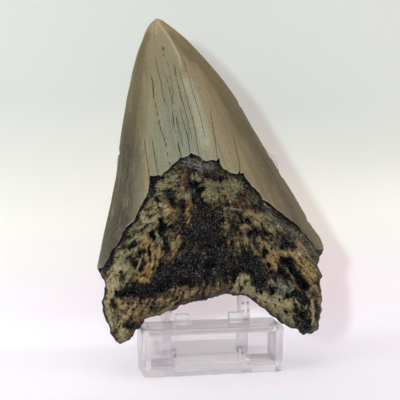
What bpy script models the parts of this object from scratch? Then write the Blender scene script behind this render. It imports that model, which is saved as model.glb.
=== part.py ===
"""A fossil megalodon tooth resting on a small clear moulded stand.

The tooth straddles the stand's ledge with its two root lobes and leans back on the rest, a clear panel on two
arms that snaps through the ledge's back wall. Units are metres and +Z is up. The origin is the centre of the
ledge's underside. The tooth's display face, its bulging tongue side, looks to -Y.
"""

import math

import bmesh
import bpy
import numpy as np
from mathutils import Vector, noise

MM = 0.001

# Ledge: a clear box, open at the front, with a recess in its floor. Its width is the foot's, and each end
# flares outward by the draft of its mould.
LEDGE_WIDTH = 50.8 * MM
LEDGE_FLARE = 0.5 * MM
LEDGE_DEPTH = 16.9 * MM
LEDGE_HEIGHT = 17.0 * MM
SIDE_WALL = 2.5 * MM
BOTTOM_WALL = 4.2 * MM
TOP_WALL = 2.1 * MM
BACK_WALL = 2.4 * MM
RECESS_WIDTH = 27.8 * MM
RECESS_DEPTH = 11.0 * MM
RECESS_FLOOR = 1.2 * MM
LUG_WIDTH = 5.3 * MM
LUG_HEIGHT = 3.8 * MM
LUG_DEPTH = 2.8 * MM
LUG_OFFSET = 9.8 * MM
LUG_MIDDLE_Y = 1.4 * MM
LUG_ROUNDING = 0.3 * MM
LEDGE_ROUNDING = 0.5 * MM

# Rest: two arms hooked over the ledge's back edge, a leaning panel that they carry, a web, a foot and two
# snap prongs, in one moulding. The panel's heights are measured up its slope from the ledge's top.
ARM_OFFSET = 14.6 * MM
ARM_THICKNESS = 3.3 * MM
ARM_DEPTH = 3.2 * MM
ARM_FRONT = 4.9 * MM
ARM_TOP = 45.0 * MM
PANEL_WIDTH = 62.0 * MM
PANEL_LOW = 13.5 * MM
PANEL_HIGH = 63.3 * MM
PANEL_THICKNESS = 2.0 * MM
PANEL_SETBACK = 0.4 * MM
PANEL_CORNER = 1.5 * MM
FOOT_LENGTH = 31.0 * MM
FOOT_THICKNESS = 2.4 * MM
GUSSET_HEIGHT = 11.5 * MM
GUSSET_LENGTH = 15.0 * MM
WEB_HEIGHT = 8.6 * MM
WEB_THICKNESS = 2.2 * MM
PRONG_OFFSET = 12.6 * MM
PRONG_WIDTH = 1.7 * MM
PRONG_THICKNESS = 1.6 * MM
PRONG_LOW = 4.9 * MM
HOOK_LOW = 1.6 * MM
HOOK_DEPTH = 1.9 * MM
ARM_CORNER = 0.6 * MM
GUSSET_STEPS = 6

# Neighbours keep this much air. A cutter runs past the face it opens, and joined shapes overlap.
GAP = 0.3 * MM
CUT_OVERRUN = 2.0 * MM
JOIN_OVERLAP = 0.5 * MM
SIDES = ((-1, "left"), (1, "right"))

# Tooth: sizes across its face are in its own upright frame, X across and Z up from the ledge's top.
TOOTH_LEAN = math.radians(15)
TOOTH_LIFT = 0.8 * MM
CROWN_FRONT_BULGE = 12.0 * MM
CROWN_BACK_BULGE = 3.2 * MM
BULGE_RISE = 32.0 * MM
BACK_BULGE_RISE = 20.0 * MM
ROOT_FRONT_THICKNESS = 6.6 * MM
ROOT_BACK_THICKNESS = 4.3 * MM
ROOT_FRONT_ROUNDING = 6.0 * MM
ROOT_BACK_ROUNDING = 4.2 * MM
BOSS_HEIGHT = 7.6 * MM
BOSS_CENTRE = (2.0 * MM, 37.0 * MM)
BOSS_SPREAD = (25.0 * MM, 19.0 * MM)
BACK_HOLLOW = 0.9 * MM
BOSS_UNDER_ENAMEL = 3.5 * MM
ENAMEL_LEDGE = 0.9 * MM
ENAMEL_FADE = 0.3
TIP_BOW = 1.5 * MM
BOW_START = 45.0 * MM
BOW_LENGTH = 70.0 * MM
# The crest of the front runs right of the middle near the tip, as a share of the width, and comes back below.
CREST_OFFSET = 0.13
CREST_RETURN = 22.0 * MM
# Powers of the front and the back face's cross-section: a round top and a thin, hollowed margin.
FRONT_SECTION = (2.1, 1.3)
BACK_SECTION = (2.0, 0.8)
# The root's rough surface: (height, size of a lump, how many times taller than wide).
FRONT_LUMPS = ((1.1 * MM, 6.0 * MM, 1.4), (0.9 * MM, 3.6 * MM, 1.0))
BACK_LUMPS = ((0.5 * MM, 9.0 * MM, 2.0), (0.3 * MM, 4.0 * MM, 1.5))
COLUMNS = 50
CROWN_ROWS = 14
ROOT_ROWS = 28
EDGE_CROWDING = 0.06

# Outlines in millimetres, each from one landmark to the next.
TIP = (-15.1, 114.6)
CROWN_LEFT = [
    TIP, (-17.2, 112.5), (-20.8, 105.5), (-26.3, 87.1), (-29.7, 70.6), (-32.5, 53.0), (-35.7, 40.0),
    (-39.8, 22.9), (-40.3, 20.6),
]
CROWN_RIGHT = [
    TIP, (-13.4, 114.1), (-10.9, 112.3), (-5.5, 108.1), (2.0, 100.0), (7.3, 93.7), (14.5, 83.2), (18.8, 74.6),
    (25.5, 62.4), (37.9, 39.8), (40.7, 34.2), (44.0, 29.0), (45.0, 25.4),
]
ROOT_LEFT = [
    (-40.3, 20.6), (-39.2, 18.5), (-38.0, 16.4), (-37.8, 12.2), (-39.1, 7.0), (-37.5, 0.6), (-34.8, -5.4),
    (-32.8, -6.7),
]
ROOT_RIGHT = [
    (45.0, 25.4), (43.7, 22.9), (43.0, 21.1), (42.3, 18.9), (43.4, 16.2), (42.3, 10.6), (42.8, 6.2),
    (41.8, 1.5), (40.1, -4.6), (35.4, -6.5),
]
ARCH = [
    (-32.8, -6.7), (-29.4, -5.1), (-27.1, -2.4), (-24.4, 0.6), (-21.9, 2.4), (-16.4, 3.4), (-14.6, 4.4),
    (-11.0, 7.2), (-8.5, 8.3), (-3.8, 8.4), (5.8, 10.4), (9.4, 10.2), (13.0, 8.7), (15.9, 8.0), (18.8, 5.5),
    (22.3, 2.5), (25.7, -0.6), (28.6, -2.8), (32.2, -4.0), (35.4, -6.5),
]
ENAMEL_FRONT = [
    (-40.3, 20.6), (-38.3, 19.9), (-36.5, 22.9), (-31.5, 31.5), (-28.0, 34.2), (-25.1, 38.0), (-22.8, 43.0),
    (-21.3, 47.5), (-20.5, 51.1), (-16.3, 51.9), (-14.6, 52.7), (-7.9, 58.5), (-4.0, 60.2), (0.3, 58.0),
    (3.8, 56.8), (6.2, 57.6), (7.0, 55.4), (10.7, 52.2), (15.6, 51.3), (19.6, 45.5), (27.8, 39.3),
    (39.0, 31.9), (43.2, 28.4), (45.0, 25.4),
]
ENAMEL_BACK = [
    (-40.3, 20.6), (-34.0, 24.6), (-24.0, 31.5), (-12.0, 37.6), (2.0, 40.8), (15.0, 39.2), (28.0, 34.4),
    (39.0, 28.6), (45.0, 25.4),
]

# Relief of the root's face in millimetres: (path, half width, height), negative for a groove or a pit.
ROOT_RELIEF = [
    ([(-31.0, 31.0), (-24.6, 35.1), (-19.4, 37.0), (-12.1, 40.5)], 1.9, 1.3),
    ([(-30.0, 27.5), (-24.0, 31.0), (-16.0, 33.5)], 2.0, -1.0),
    ([(-22.3, 32.5), (-25.6, 27.0), (-29.4, 20.0), (-33.5, 13.5)], 2.2, 1.2),
    ([(-27.5, 28.5), (-31.0, 22.0), (-34.0, 16.5)], 1.7, -1.0),
    ([(-15.0, 31.5), (-19.5, 24.0), (-25.0, 16.0)], 2.0, 0.9),
    ([(-33.9, 11.0), (-24.3, 10.3), (-16.9, 13.3), (-10.1, 14.4)], 1.9, -1.5),
    ([(-31.0, 3.0), (-20.0, 6.5), (-11.0, 10.2), (0.0, 11.5), (12.0, 12.5), (21.0, 8.5)], 2.2, 1.1),
    ([(-1.4, 20.0), (-1.0, 20.4)], 1.7, -2.6),
    ([(11.0, 14.8), (11.6, 15.2)], 1.8, 1.2),
    ([(28.0, 20.8), (31.7, 15.5), (35.1, 9.8)], 1.7, -2.2),
    ([(37.6, 7.0), (37.3, 1.6), (37.3, -2.5)], 1.4, 1.3),
    ([(32.5, 22.5), (36.0, 16.5), (38.6, 11.0)], 1.8, 1.2),
    ([(21.5, 42.5), (29.5, 36.6), (40.0, 28.6)], 1.7, -1.1),
    ([(-5.7, 56.0), (-4.2, 50.0), (-3.8, 42.0)], 1.8, -1.4),
    ([(5.5, 50.8), (13.4, 46.5), (19.5, 39.0)], 1.9, -1.1),
    ([(13.0, 38.0), (17.0, 30.0), (23.0, 22.5)], 2.2, 1.0),
    ([(-12.5, 37.0), (-12.0, 30.0), (-14.0, 23.0)], 2.0, 1.1),
    ([(24.0, 33.0), (31.0, 29.0)], 2.2, 0.9),
]
TIP_RIDGE = ([(-15.0, 112.0), (-11.2, 107.7), (-8.6, 102.3), (-7.1, 97.0)], 1.5, 0.5)


# ---------------------------------------------------------------- scene


def clear_scene():
    for obj in list(bpy.data.objects):
        bpy.data.objects.remove(obj, do_unlink=True)


def new_collection(name):
    made = bpy.data.collections.new(name)
    bpy.context.scene.collection.children.link(made)
    return made


def make_material(name, colour, roughness, metallic=0.0, alpha=1.0):
    material = bpy.data.materials.new(name)
    material.use_nodes = True
    shader = material.node_tree.nodes["Principled BSDF"]
    shader.inputs["Base Color"].default_value = (*colour, 1.0)
    shader.inputs["Roughness"].default_value = roughness
    shader.inputs["Metallic"].default_value = metallic
    shader.inputs["Alpha"].default_value = alpha
    return material


def object_of(mesh, name, collection):
    obj = bpy.data.objects.new(name, mesh)
    collection.objects.link(obj)
    return obj


# ---------------------------------------------------------------- solids of the stand


def box(name, low, high, collection):
    """A box between two corners, with its place in its mesh."""
    form = bmesh.new()
    bmesh.ops.create_cube(form, size=1.0)
    low, high = Vector(low), Vector(high)
    bmesh.ops.scale(form, vec=high - low, verts=form.verts)
    bmesh.ops.translate(form, vec=(low + high) / 2, verts=form.verts)
    mesh = bpy.data.meshes.new(name)
    form.to_mesh(mesh)
    form.free()
    return object_of(mesh, name, collection)


def panel_with_round_corners(name, low, high, corner, collection):
    """A box between two corners, whose four edges along Y are rounded."""
    panel = box(name, low, high, collection)
    form = bmesh.new()
    form.from_mesh(panel.data)
    uprights = [edge for edge in form.edges if abs(edge.verts[0].co.y - edge.verts[1].co.y) > corner / 2]
    bmesh.ops.bevel(form, geom=uprights, offset=corner, segments=5, profile=0.5, affect="EDGES")
    form.to_mesh(panel.data)
    form.free()
    return panel


def plate_of_outline(name, outline, middle_x, thickness, collection):
    """A flat outline in the YZ plane, thickened along X: a filled 2D curve, then made a closed mesh."""
    curve = bpy.data.curves.new(name, "CURVE")
    curve.dimensions = "2D"
    curve.fill_mode = "BOTH"
    curve.extrude = thickness / 2
    spline = curve.splines.new("POLY")
    spline.points.add(len(outline) - 1)
    for point, (y, z) in zip(spline.points, outline):
        point.co = (y, z, 0, 1)
    spline.use_cyclic_u = True
    flat = object_of(curve, name + "_outline", collection)
    bpy.context.view_layer.update()
    graph = bpy.context.evaluated_depsgraph_get()
    mesh = bpy.data.meshes.new_from_object(flat.evaluated_get(graph))
    bpy.data.objects.remove(flat, do_unlink=True)
    form = bmesh.new()
    form.from_mesh(mesh)
    bmesh.ops.remove_doubles(form, verts=form.verts, dist=0.01 * MM)
    # The outline's own X and Y become the world's Y and Z.
    for vertex in form.verts:
        y, z, x = vertex.co
        vertex.co = (middle_x + x, y, z)
    bmesh.ops.recalc_face_normals(form, faces=form.faces)
    form.to_mesh(mesh)
    form.free()
    return object_of(mesh, name, collection)


def boolean(obj, other, operation):
    modifier = obj.modifiers.new(operation.lower() + "_" + other.name, "BOOLEAN")
    modifier.operation = operation
    modifier.object = other
    other.hide_render = True
    other.display_type = "WIRE"


def round_edges(obj, width, segments):
    modifier = obj.modifiers.new("rounded_edges", "BEVEL")
    modifier.width = width
    modifier.segments = segments
    modifier.limit_method = "ANGLE"
    modifier.angle_limit = math.radians(40)
    modifier.use_clamp_overlap = True


def make_ledge(parts, cutters, material):
    """The front block: a pocket open to the front, a recess in its floor, two slots and two lugs."""
    half_width = LEDGE_WIDTH / 2
    half_depth = LEDGE_DEPTH / 2
    ledge = box(
        "stand_ledge",
        (-half_width - LEDGE_FLARE, -half_depth, 0),
        (half_width + LEDGE_FLARE, half_depth, LEDGE_HEIGHT),
        parts,
    )
    for vertex in ledge.data.vertices:
        if vertex.co.z < LEDGE_HEIGHT / 2:
            vertex.co.x -= math.copysign(LEDGE_FLARE, vertex.co.x)
    round_edges(ledge, LEDGE_ROUNDING, 3)
    pocket = box(
        "ledge_pocket",
        (-half_width + SIDE_WALL, -half_depth - CUT_OVERRUN, BOTTOM_WALL),
        (half_width - SIDE_WALL, half_depth - BACK_WALL, LEDGE_HEIGHT - TOP_WALL),
        cutters,
    )
    round_edges(pocket, LEDGE_ROUNDING, 2)
    boolean(ledge, pocket, "DIFFERENCE")
    recess = box(
        "ledge_recess",
        (-RECESS_WIDTH / 2, -RECESS_DEPTH / 2, RECESS_FLOOR),
        (RECESS_WIDTH / 2, RECESS_DEPTH / 2, BOTTOM_WALL + CUT_OVERRUN),
        cutters,
    )
    boolean(ledge, recess, "DIFFERENCE")
    slot_half_width = PRONG_WIDTH / 2 + GAP
    for side, label in SIDES:
        slot_x = side * PRONG_OFFSET
        slot = box(
            "ledge_slot_" + label,
            (slot_x - slot_half_width, half_depth - BACK_WALL - CUT_OVERRUN, PRONG_LOW - GAP),
            (slot_x + slot_half_width, half_depth + CUT_OVERRUN, PRONG_LOW + PRONG_THICKNESS + GAP),
            cutters,
        )
        boolean(ledge, slot, "DIFFERENCE")
        lug_x = side * LUG_OFFSET
        lug = box(
            "ledge_lug_" + label,
            (lug_x - LUG_WIDTH / 2, LUG_MIDDLE_Y - LUG_DEPTH / 2, LEDGE_HEIGHT - TOP_WALL / 2),
            (lug_x + LUG_WIDTH / 2, LUG_MIDDLE_Y + LUG_DEPTH / 2, LEDGE_HEIGHT + LUG_HEIGHT),
            cutters,
        )
        round_edges(lug, LUG_ROUNDING, 2)
        boolean(ledge, lug, "UNION")
    ledge.data.materials.append(material)


def cheek_outline():
    """The side view of one arm with its hook, its gusset and its part of the foot, as (y, z) points."""
    front = LEDGE_DEPTH / 2 + GAP
    hook_z = LEDGE_HEIGHT + GAP
    lean = math.tan(TOOTH_LEAN)
    top_front = ARM_FRONT + (ARM_TOP - LEDGE_HEIGHT) * lean
    outline = [(front, 0), (front + FOOT_LENGTH, 0), (front + FOOT_LENGTH, FOOT_THICKNESS)]
    # The gusset is a hollow quarter ellipse between the foot's top and the arm's back.
    gusset_end = front + ARM_DEPTH
    gusset_start = gusset_end + GUSSET_LENGTH
    for step in range(GUSSET_STEPS + 1):
        angle = math.pi / 2 * step / GUSSET_STEPS
        y = gusset_start - (gusset_start - gusset_end) * math.sin(angle)
        outline.append((y, FOOT_THICKNESS + GUSSET_HEIGHT * (1 - math.cos(angle))))
    outline.append((front + ARM_DEPTH, hook_z + ARM_DEPTH))
    outline.append((top_front + ARM_DEPTH, ARM_TOP - 2 * ARM_CORNER))
    outline.append((top_front + ARM_DEPTH / 2, ARM_TOP))
    outline.append((top_front, ARM_TOP - ARM_CORNER))
    outline.append((ARM_FRONT, hook_z + ARM_CORNER))
    outline.append((ARM_FRONT + ARM_CORNER, hook_z))
    outline.append((front, hook_z))
    return outline


def make_rest(parts, cutters, material):
    """The back rest: two cheeks with the arms, a web, a foot, the panel and two prongs to the front."""
    front = LEDGE_DEPTH / 2 + GAP
    back = front + FOOT_LENGTH
    inner = ARM_OFFSET - ARM_THICKNESS / 2
    rest = plate_of_outline("stand_rest", cheek_outline(), -ARM_OFFSET, ARM_THICKNESS, parts)
    other_cheek = plate_of_outline("rest_cheek_right", cheek_outline(), ARM_OFFSET, ARM_THICKNESS, cutters)
    foot = box(
        "rest_foot",
        (-inner - JOIN_OVERLAP, front + WEB_THICKNESS / 2, 0),
        (inner + JOIN_OVERLAP, back, FOOT_THICKNESS),
        cutters,
    )
    web = box(
        "rest_web",
        (-inner - JOIN_OVERLAP, front, 0),
        (inner + JOIN_OVERLAP, front + WEB_THICKNESS, WEB_HEIGHT),
        cutters,
    )
    panel = panel_with_round_corners(
        "rest_panel",
        (-PANEL_WIDTH / 2, 0, PANEL_LOW),
        (PANEL_WIDTH / 2, PANEL_THICKNESS, PANEL_HIGH),
        PANEL_CORNER,
        cutters,
    )
    panel.location = (0, ARM_FRONT + PANEL_SETBACK, LEDGE_HEIGHT)
    panel.rotation_euler = (-TOOTH_LEAN, 0, 0)
    for piece in (other_cheek, foot, web, panel):
        boolean(rest, piece, "UNION")
    hook_back = RECESS_DEPTH / 2 - GAP
    for side, label in SIDES:
        low_x = side * PRONG_OFFSET - PRONG_WIDTH / 2
        high_x = side * PRONG_OFFSET + PRONG_WIDTH / 2
        prong = box(
            "rest_prong_" + label,
            (low_x, hook_back - HOOK_DEPTH, PRONG_LOW),
            (high_x, front + WEB_THICKNESS / 2, PRONG_LOW + PRONG_THICKNESS),
            cutters,
        )
        hook = box(
            "rest_hook_" + label,
            (low_x, hook_back - HOOK_DEPTH, HOOK_LOW),
            (high_x, hook_back, PRONG_LOW + JOIN_OVERLAP),
            cutters,
        )
        boolean(rest, prong, "UNION")
        boolean(rest, hook, "UNION")
    rest.data.materials.append(material)


# ---------------------------------------------------------------- the tooth


def along(points, where):
    """Points of a smooth curve through the outline's points, at the fractions `where` of its length."""
    points = np.array(points) * MM
    steps = np.linalg.norm(np.diff(points, axis=0), axis=1)
    knots = np.concatenate([[0], np.cumsum(steps)]) / steps.sum()
    slopes = np.gradient(points, knots, axis=0)
    where = np.clip(where, 0, 1)
    index = np.clip(np.searchsorted(knots, where, side="right") - 1, 0, len(knots) - 2)
    span = knots[index + 1] - knots[index]
    u = ((where - knots[index]) / span)[:, None]
    span = span[:, None]
    start = (2 * u**3 - 3 * u**2 + 1) * points[index] + (u**3 - 2 * u**2 + u) * span * slopes[index]
    end = (3 * u**2 - 2 * u**3) * points[index + 1] + (u**3 - u**2) * span * slopes[index + 1]
    return start + end


def patch(top, bottom, left, right, across, down):
    """A grid of points between four edge curves, row by row from the top (a Coons patch)."""
    s = across[None, :, None]
    t = down[:, None, None]
    sides = (1 - s) * left[:, None] + s * right[:, None]
    ends = (1 - t) * top[None] + t * bottom[None]
    corners = (1 - t) * ((1 - s) * top[0] + s * top[-1]) + t * ((1 - s) * bottom[0] + s * bottom[-1])
    return sides + ends - corners


def ease(low, high, value):
    u = np.clip((value - low) / (high - low), 0, 1)
    return u * u * (3 - 2 * u)


def near_path(places, path):
    """Each place's distance to a path of straight runs."""
    path = np.array(path) * MM
    nearest = np.full(places.shape[:-1], np.inf)
    for start, end in zip(path[:-1], path[1:]):
        run = end - start
        share = np.clip(((places - start) @ run) / (run @ run), 0, 1)
        away = np.linalg.norm(places - (start + share[..., None] * run), axis=-1)
        nearest = np.minimum(nearest, away)
    return nearest


def relief(places, features):
    height = np.zeros(places.shape[:-1])
    for path, half_width, amount in features:
        height += amount * MM * np.exp(-((near_path(places, path) / (half_width * MM)) ** 2))
    return height


def lumps(places, size, seed, stretch):
    """Smooth noise between -1 and 1 with lumps about `size` across, `stretch` times as tall as wide."""
    flat = places.reshape(-1, 2) / size
    values = [noise.noise(Vector((x, z / stretch, seed))) for x, z in flat]
    return np.array(values).reshape(places.shape[:-1])


def round_off(distance, radius):
    """A quarter-circle rise from 0 at an edge to 1 at `radius` from it."""
    inside = 1 - np.clip(distance / radius, 0, 1)
    return np.sqrt(np.maximum(1 - inside**2, 0))


def share_across(places):
    """How far each place lies from the tooth's left edge to its right edge, level with it, from 0 to 1."""
    fine = np.linspace(0, 1, 200)
    left = np.concatenate([along(CROWN_LEFT, fine), along(ROOT_LEFT, fine)])[::-1]
    right = np.concatenate([along(CROWN_RIGHT, fine), along(ROOT_RIGHT, fine)])[::-1]
    left_x = np.interp(places[..., 1], left[:, 1], left[:, 0])
    right_x = np.interp(places[..., 1], right[:, 1], right[:, 0])
    return np.clip((places[..., 0] - left_x) / np.maximum(right_x - left_x, 0.1 * MM), 0, 1)


def crown_height(places, front):
    """Height of the enamel face over the tooth's middle plane."""
    across = share_across(places)
    below_tip = np.maximum(TIP[1] * MM - places[..., 1], 0)
    if front:
        crest = 0.5 + CREST_OFFSET * np.exp(-below_tip / CREST_RETURN)
        off_crest = np.where(across < crest, (crest - across) / crest, (across - crest) / (1 - crest))
        bulge = CROWN_FRONT_BULGE * (1 - np.exp(-below_tip / BULGE_RISE))
        shape = (1 - np.clip(off_crest, 0, 1) ** FRONT_SECTION[0]) ** FRONT_SECTION[1]
        boss = BOSS_UNDER_ENAMEL * boss_shape(places)
        ridge = relief(places, [TIP_RIDGE]) * ease(0, 2 * MM, below_tip)
        return (bulge + boss) * shape + ridge * shape**0.3
    bulge = CROWN_BACK_BULGE * (1 - np.exp(-below_tip / BACK_BULGE_RISE))
    return bulge * (1 - np.abs(2 * across - 1) ** BACK_SECTION[0]) ** BACK_SECTION[1]


def boss_shape(places):
    """The swelling of the root's middle, as a share of its height."""
    return np.exp(
        -(((places[..., 0] - BOSS_CENTRE[0]) / BOSS_SPREAD[0]) ** 2)
        - ((places[..., 1] - BOSS_CENTRE[1]) / BOSS_SPREAD[1]) ** 2
    )


def root_height(places, rounding, front):
    """Height of the root's face over the middle plane, with its swelling, ridges, grooves and lumps."""
    if front:
        surface = ROOT_FRONT_THICKNESS + BOSS_HEIGHT * boss_shape(places) + relief(places, ROOT_RELIEF)
    else:
        surface = ROOT_BACK_THICKNESS - BACK_HOLLOW * boss_shape(places)
    for seed, (height, size, stretch) in enumerate(FRONT_LUMPS if front else BACK_LUMPS):
        surface = surface + height * lumps(places, size, seed + 3.1, stretch)
    return surface * rounding


def face_of_tooth(front):
    """The grid of places across the tooth and their heights, for its front or its back face."""
    share = np.linspace(0, 1, COLUMNS + 1)
    across = share - EDGE_CROWDING * np.sin(2 * math.pi * share)
    crown_down = np.linspace(0, 1, CROWN_ROWS + 1) ** 1.3
    # The first root row sits just under the enamel's edge; the last rows crowd round the bottom.
    root_down = np.concatenate([[0.008], np.sin(np.linspace(0.03, math.pi / 2, ROOT_ROWS - 1)) ** 0.95])
    enamel_edge = along(ENAMEL_FRONT if front else ENAMEL_BACK, across)
    tip = np.repeat([np.array(TIP) * MM], COLUMNS + 1, axis=0)
    crown = patch(tip, enamel_edge, along(CROWN_LEFT, crown_down), along(CROWN_RIGHT, crown_down), across,
                  crown_down)
    root_left = along(ROOT_LEFT, root_down)
    root_right = along(ROOT_RIGHT, root_down)
    root = patch(enamel_edge, along(ARCH, across), root_left, root_right, across, root_down)

    crown_heights = crown_height(crown, front)
    crown_heights[:, [0, -1]] = 0
    row_width = np.linalg.norm(root_right - root_left, axis=1)[:, None]
    column_length = np.linalg.norm(root[-1] - enamel_edge, axis=1)[None]
    radius = ROOT_FRONT_ROUNDING if front else ROOT_BACK_ROUNDING
    rounding = (
        round_off(across[None] * row_width, radius)
        * round_off((1 - across[None]) * row_width, radius)
        * round_off((1 - root_down[:, None]) * column_length, radius)
    )
    as_crown = crown_height(root, front)
    as_root = root_height(root, rounding, front)
    change = ease(0, ENAMEL_FADE, root_down[:, None])
    # The enamel ends in a small step down to the root, which dies out at the thin edges.
    ledge = ENAMEL_LEDGE if front else ENAMEL_LEDGE / 3
    fade = np.exp(-root_down[:, None] / ENAMEL_FADE)
    step = ledge * np.clip(as_crown / (4 * ENAMEL_LEDGE), 0, 1) * fade
    root_heights = (1 - change) * as_crown + change * as_root - step
    root_heights[-1] = 0
    root_heights[:, [0, -1]] = 0
    return np.concatenate([crown, root]), np.concatenate([crown_heights, root_heights])


def add_face(form, front):
    """A flat grid, with each of its vertices moved to its place on that face of the tooth."""
    places, heights = face_of_tooth(front)
    rows, columns = heights.shape
    made = bmesh.ops.create_grid(form, x_segments=columns - 1, y_segments=rows - 1, size=0.5)
    bow = TIP_BOW * (np.clip(places[..., 1] - BOW_START, 0, None) / BOW_LENGTH) ** 2
    outward = -1 if front else 1
    for vertex in made["verts"]:
        column = round((vertex.co.x + 0.5) * (columns - 1))
        row = round((0.5 - vertex.co.y) * (rows - 1))
        x, z = places[row, column]
        vertex.co = (x, outward * heights[row, column] - bow[row, column], z)
    if not front:
        back_faces = {face for vertex in made["verts"] for face in vertex.link_faces}
        bmesh.ops.reverse_faces(form, faces=list(back_faces))


def make_tooth(parts, material):
    form = bmesh.new()
    for front in (True, False):
        add_face(form, front)
    bmesh.ops.remove_doubles(form, verts=form.verts, dist=0.001 * MM)
    mesh = bpy.data.meshes.new("tooth")
    form.to_mesh(mesh)
    form.free()
    tooth = object_of(mesh, "tooth", parts)
    tooth.rotation_euler = (-TOOTH_LEAN, 0, 0)
    tooth.location = (0, 0, LEDGE_HEIGHT + TOOTH_LIFT)
    mesh.materials.append(material)
    mesh.shade_smooth()
    mesh.set_sharp_from_angle(angle=math.radians(50))


clear_scene()
part_collection = new_collection("megalodon_tooth")
cutter_collection = new_collection("cutters")
clear_plastic = make_material("clear_plastic", (0.9, 0.91, 0.93), 0.08, alpha=0.3)
fossil = make_material("fossil_enamel_and_root", (0.24, 0.22, 0.16), 0.4)
make_ledge(part_collection, cutter_collection, clear_plastic)
make_rest(part_collection, cutter_collection, clear_plastic)
make_tooth(part_collection, fossil)
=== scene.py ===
"""A fossil megalodon tooth standing on its small clear stand, in a pale light tent."""

import math

import bpy
import numpy as np
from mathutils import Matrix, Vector, noise


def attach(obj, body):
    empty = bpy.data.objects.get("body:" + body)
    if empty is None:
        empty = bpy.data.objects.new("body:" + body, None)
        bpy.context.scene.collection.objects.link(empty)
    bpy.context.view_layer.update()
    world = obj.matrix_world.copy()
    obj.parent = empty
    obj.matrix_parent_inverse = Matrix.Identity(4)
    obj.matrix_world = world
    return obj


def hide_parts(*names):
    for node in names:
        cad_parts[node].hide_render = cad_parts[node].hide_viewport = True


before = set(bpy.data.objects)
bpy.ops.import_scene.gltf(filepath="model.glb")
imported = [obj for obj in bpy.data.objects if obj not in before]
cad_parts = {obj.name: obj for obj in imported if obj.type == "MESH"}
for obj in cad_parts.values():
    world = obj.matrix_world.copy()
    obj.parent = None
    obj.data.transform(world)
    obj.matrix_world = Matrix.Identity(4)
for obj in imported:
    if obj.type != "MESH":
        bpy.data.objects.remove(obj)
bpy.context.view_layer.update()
MM = 0.001

# ---------------------------------------------------------------- the tooth
# The fossil is one grown piece: a blade of smooth enamel over a thick, two-lobed root of porous bone,
# all turned to stone. Its bulging tongue side looks to -Y, it straddles the ledge with its lobes and
# leans back on the arms. Sizes across it are in its own upright frame, X across and Z up.

TOOTH_LEAN = math.radians(15)
TOOTH_FOOT = 17.8 * MM
CROWN_FRONT_BULGE = 12.0 * MM
CROWN_BACK_BULGE = 3.2 * MM
BULGE_RISE = 32.0 * MM
BACK_BULGE_RISE = 20.0 * MM
ROOT_FRONT_THICKNESS = 6.6 * MM
ROOT_BACK_THICKNESS = 4.3 * MM
ROOT_FRONT_ROUNDING = 6.0 * MM
ROOT_BACK_ROUNDING = 4.2 * MM
BOSS_HEIGHT = 7.6 * MM
BOSS_CENTRE = (2.0 * MM, 37.0 * MM)
BOSS_SPREAD = (25.0 * MM, 19.0 * MM)
BOSS_UNDER_ENAMEL = 3.5 * MM
BACK_HOLLOW = 0.9 * MM
ENAMEL_LEDGE = 0.9 * MM
ENAMEL_FADE = 0.3
TIP_BOW = 1.5 * MM
BOW_START = 45.0 * MM
BOW_LENGTH = 70.0 * MM
CREST_OFFSET = 0.13
CREST_RETURN = 22.0 * MM
FRONT_SECTION = (2.1, 1.3)
BACK_SECTION = (2.0, 0.8)
FRONT_LUMPS = ((1.1 * MM, 6.0 * MM, 1.4), (0.9 * MM, 3.6 * MM, 1.0))
BACK_LUMPS = ((0.5 * MM, 9.0 * MM, 2.0), (0.3 * MM, 4.0 * MM, 1.5))
COLUMNS = 238
CROWN_ROWS = 92
ROOT_ROWS = 112
EDGE_CROWDING = 0.06

# Outlines in millimetres, each from one landmark to the next. Most points of the lists in this section
# were picked by eye in one view, and a separate script cast them on to the tooth's face.
TIP = (-15.1, 114.6)
CROWN_LEFT = [
    TIP, (-17.2, 112.5), (-20.8, 105.5), (-26.3, 87.1), (-29.7, 70.6), (-32.5, 53.0), (-35.7, 40.0),
    (-39.8, 22.9), (-40.3, 20.6),
]
CROWN_RIGHT = [
    TIP, (-13.4, 114.1), (-10.9, 112.3), (-5.5, 108.1), (2.0, 100.0), (7.3, 93.7), (14.5, 83.2),
    (18.8, 74.6), (25.5, 62.4), (37.9, 39.8), (40.7, 34.2), (44.0, 29.0), (45.0, 25.4),
]
ROOT_LEFT = [
    (-40.3, 20.6), (-39.2, 18.5), (-38.0, 16.4), (-37.8, 12.2), (-39.1, 7.0), (-37.5, 0.6), (-34.8, -5.4),
    (-32.8, -6.7),
]
ROOT_RIGHT = [
    (45.0, 25.4), (43.7, 22.9), (43.0, 21.1), (42.3, 18.9), (43.4, 16.2), (42.3, 10.6), (42.8, 6.2),
    (41.8, 1.5), (40.1, -4.6), (35.4, -6.5),
]
ARCH = [
    (-32.8, -6.7), (-29.4, -5.1), (-27.1, -2.4), (-24.4, 0.6), (-21.9, 2.4), (-16.4, 3.4), (-14.6, 4.0),
    (-11.0, 5.9), (-8.5, 6.7), (-3.8, 7.3), (5.8, 9.5), (9.4, 9.6), (13.0, 8.7), (15.9, 8.0), (18.8, 5.5),
    (22.3, 2.5), (25.7, -0.6), (28.6, -2.8), (32.2, -4.0), (35.4, -6.5),
]
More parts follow.
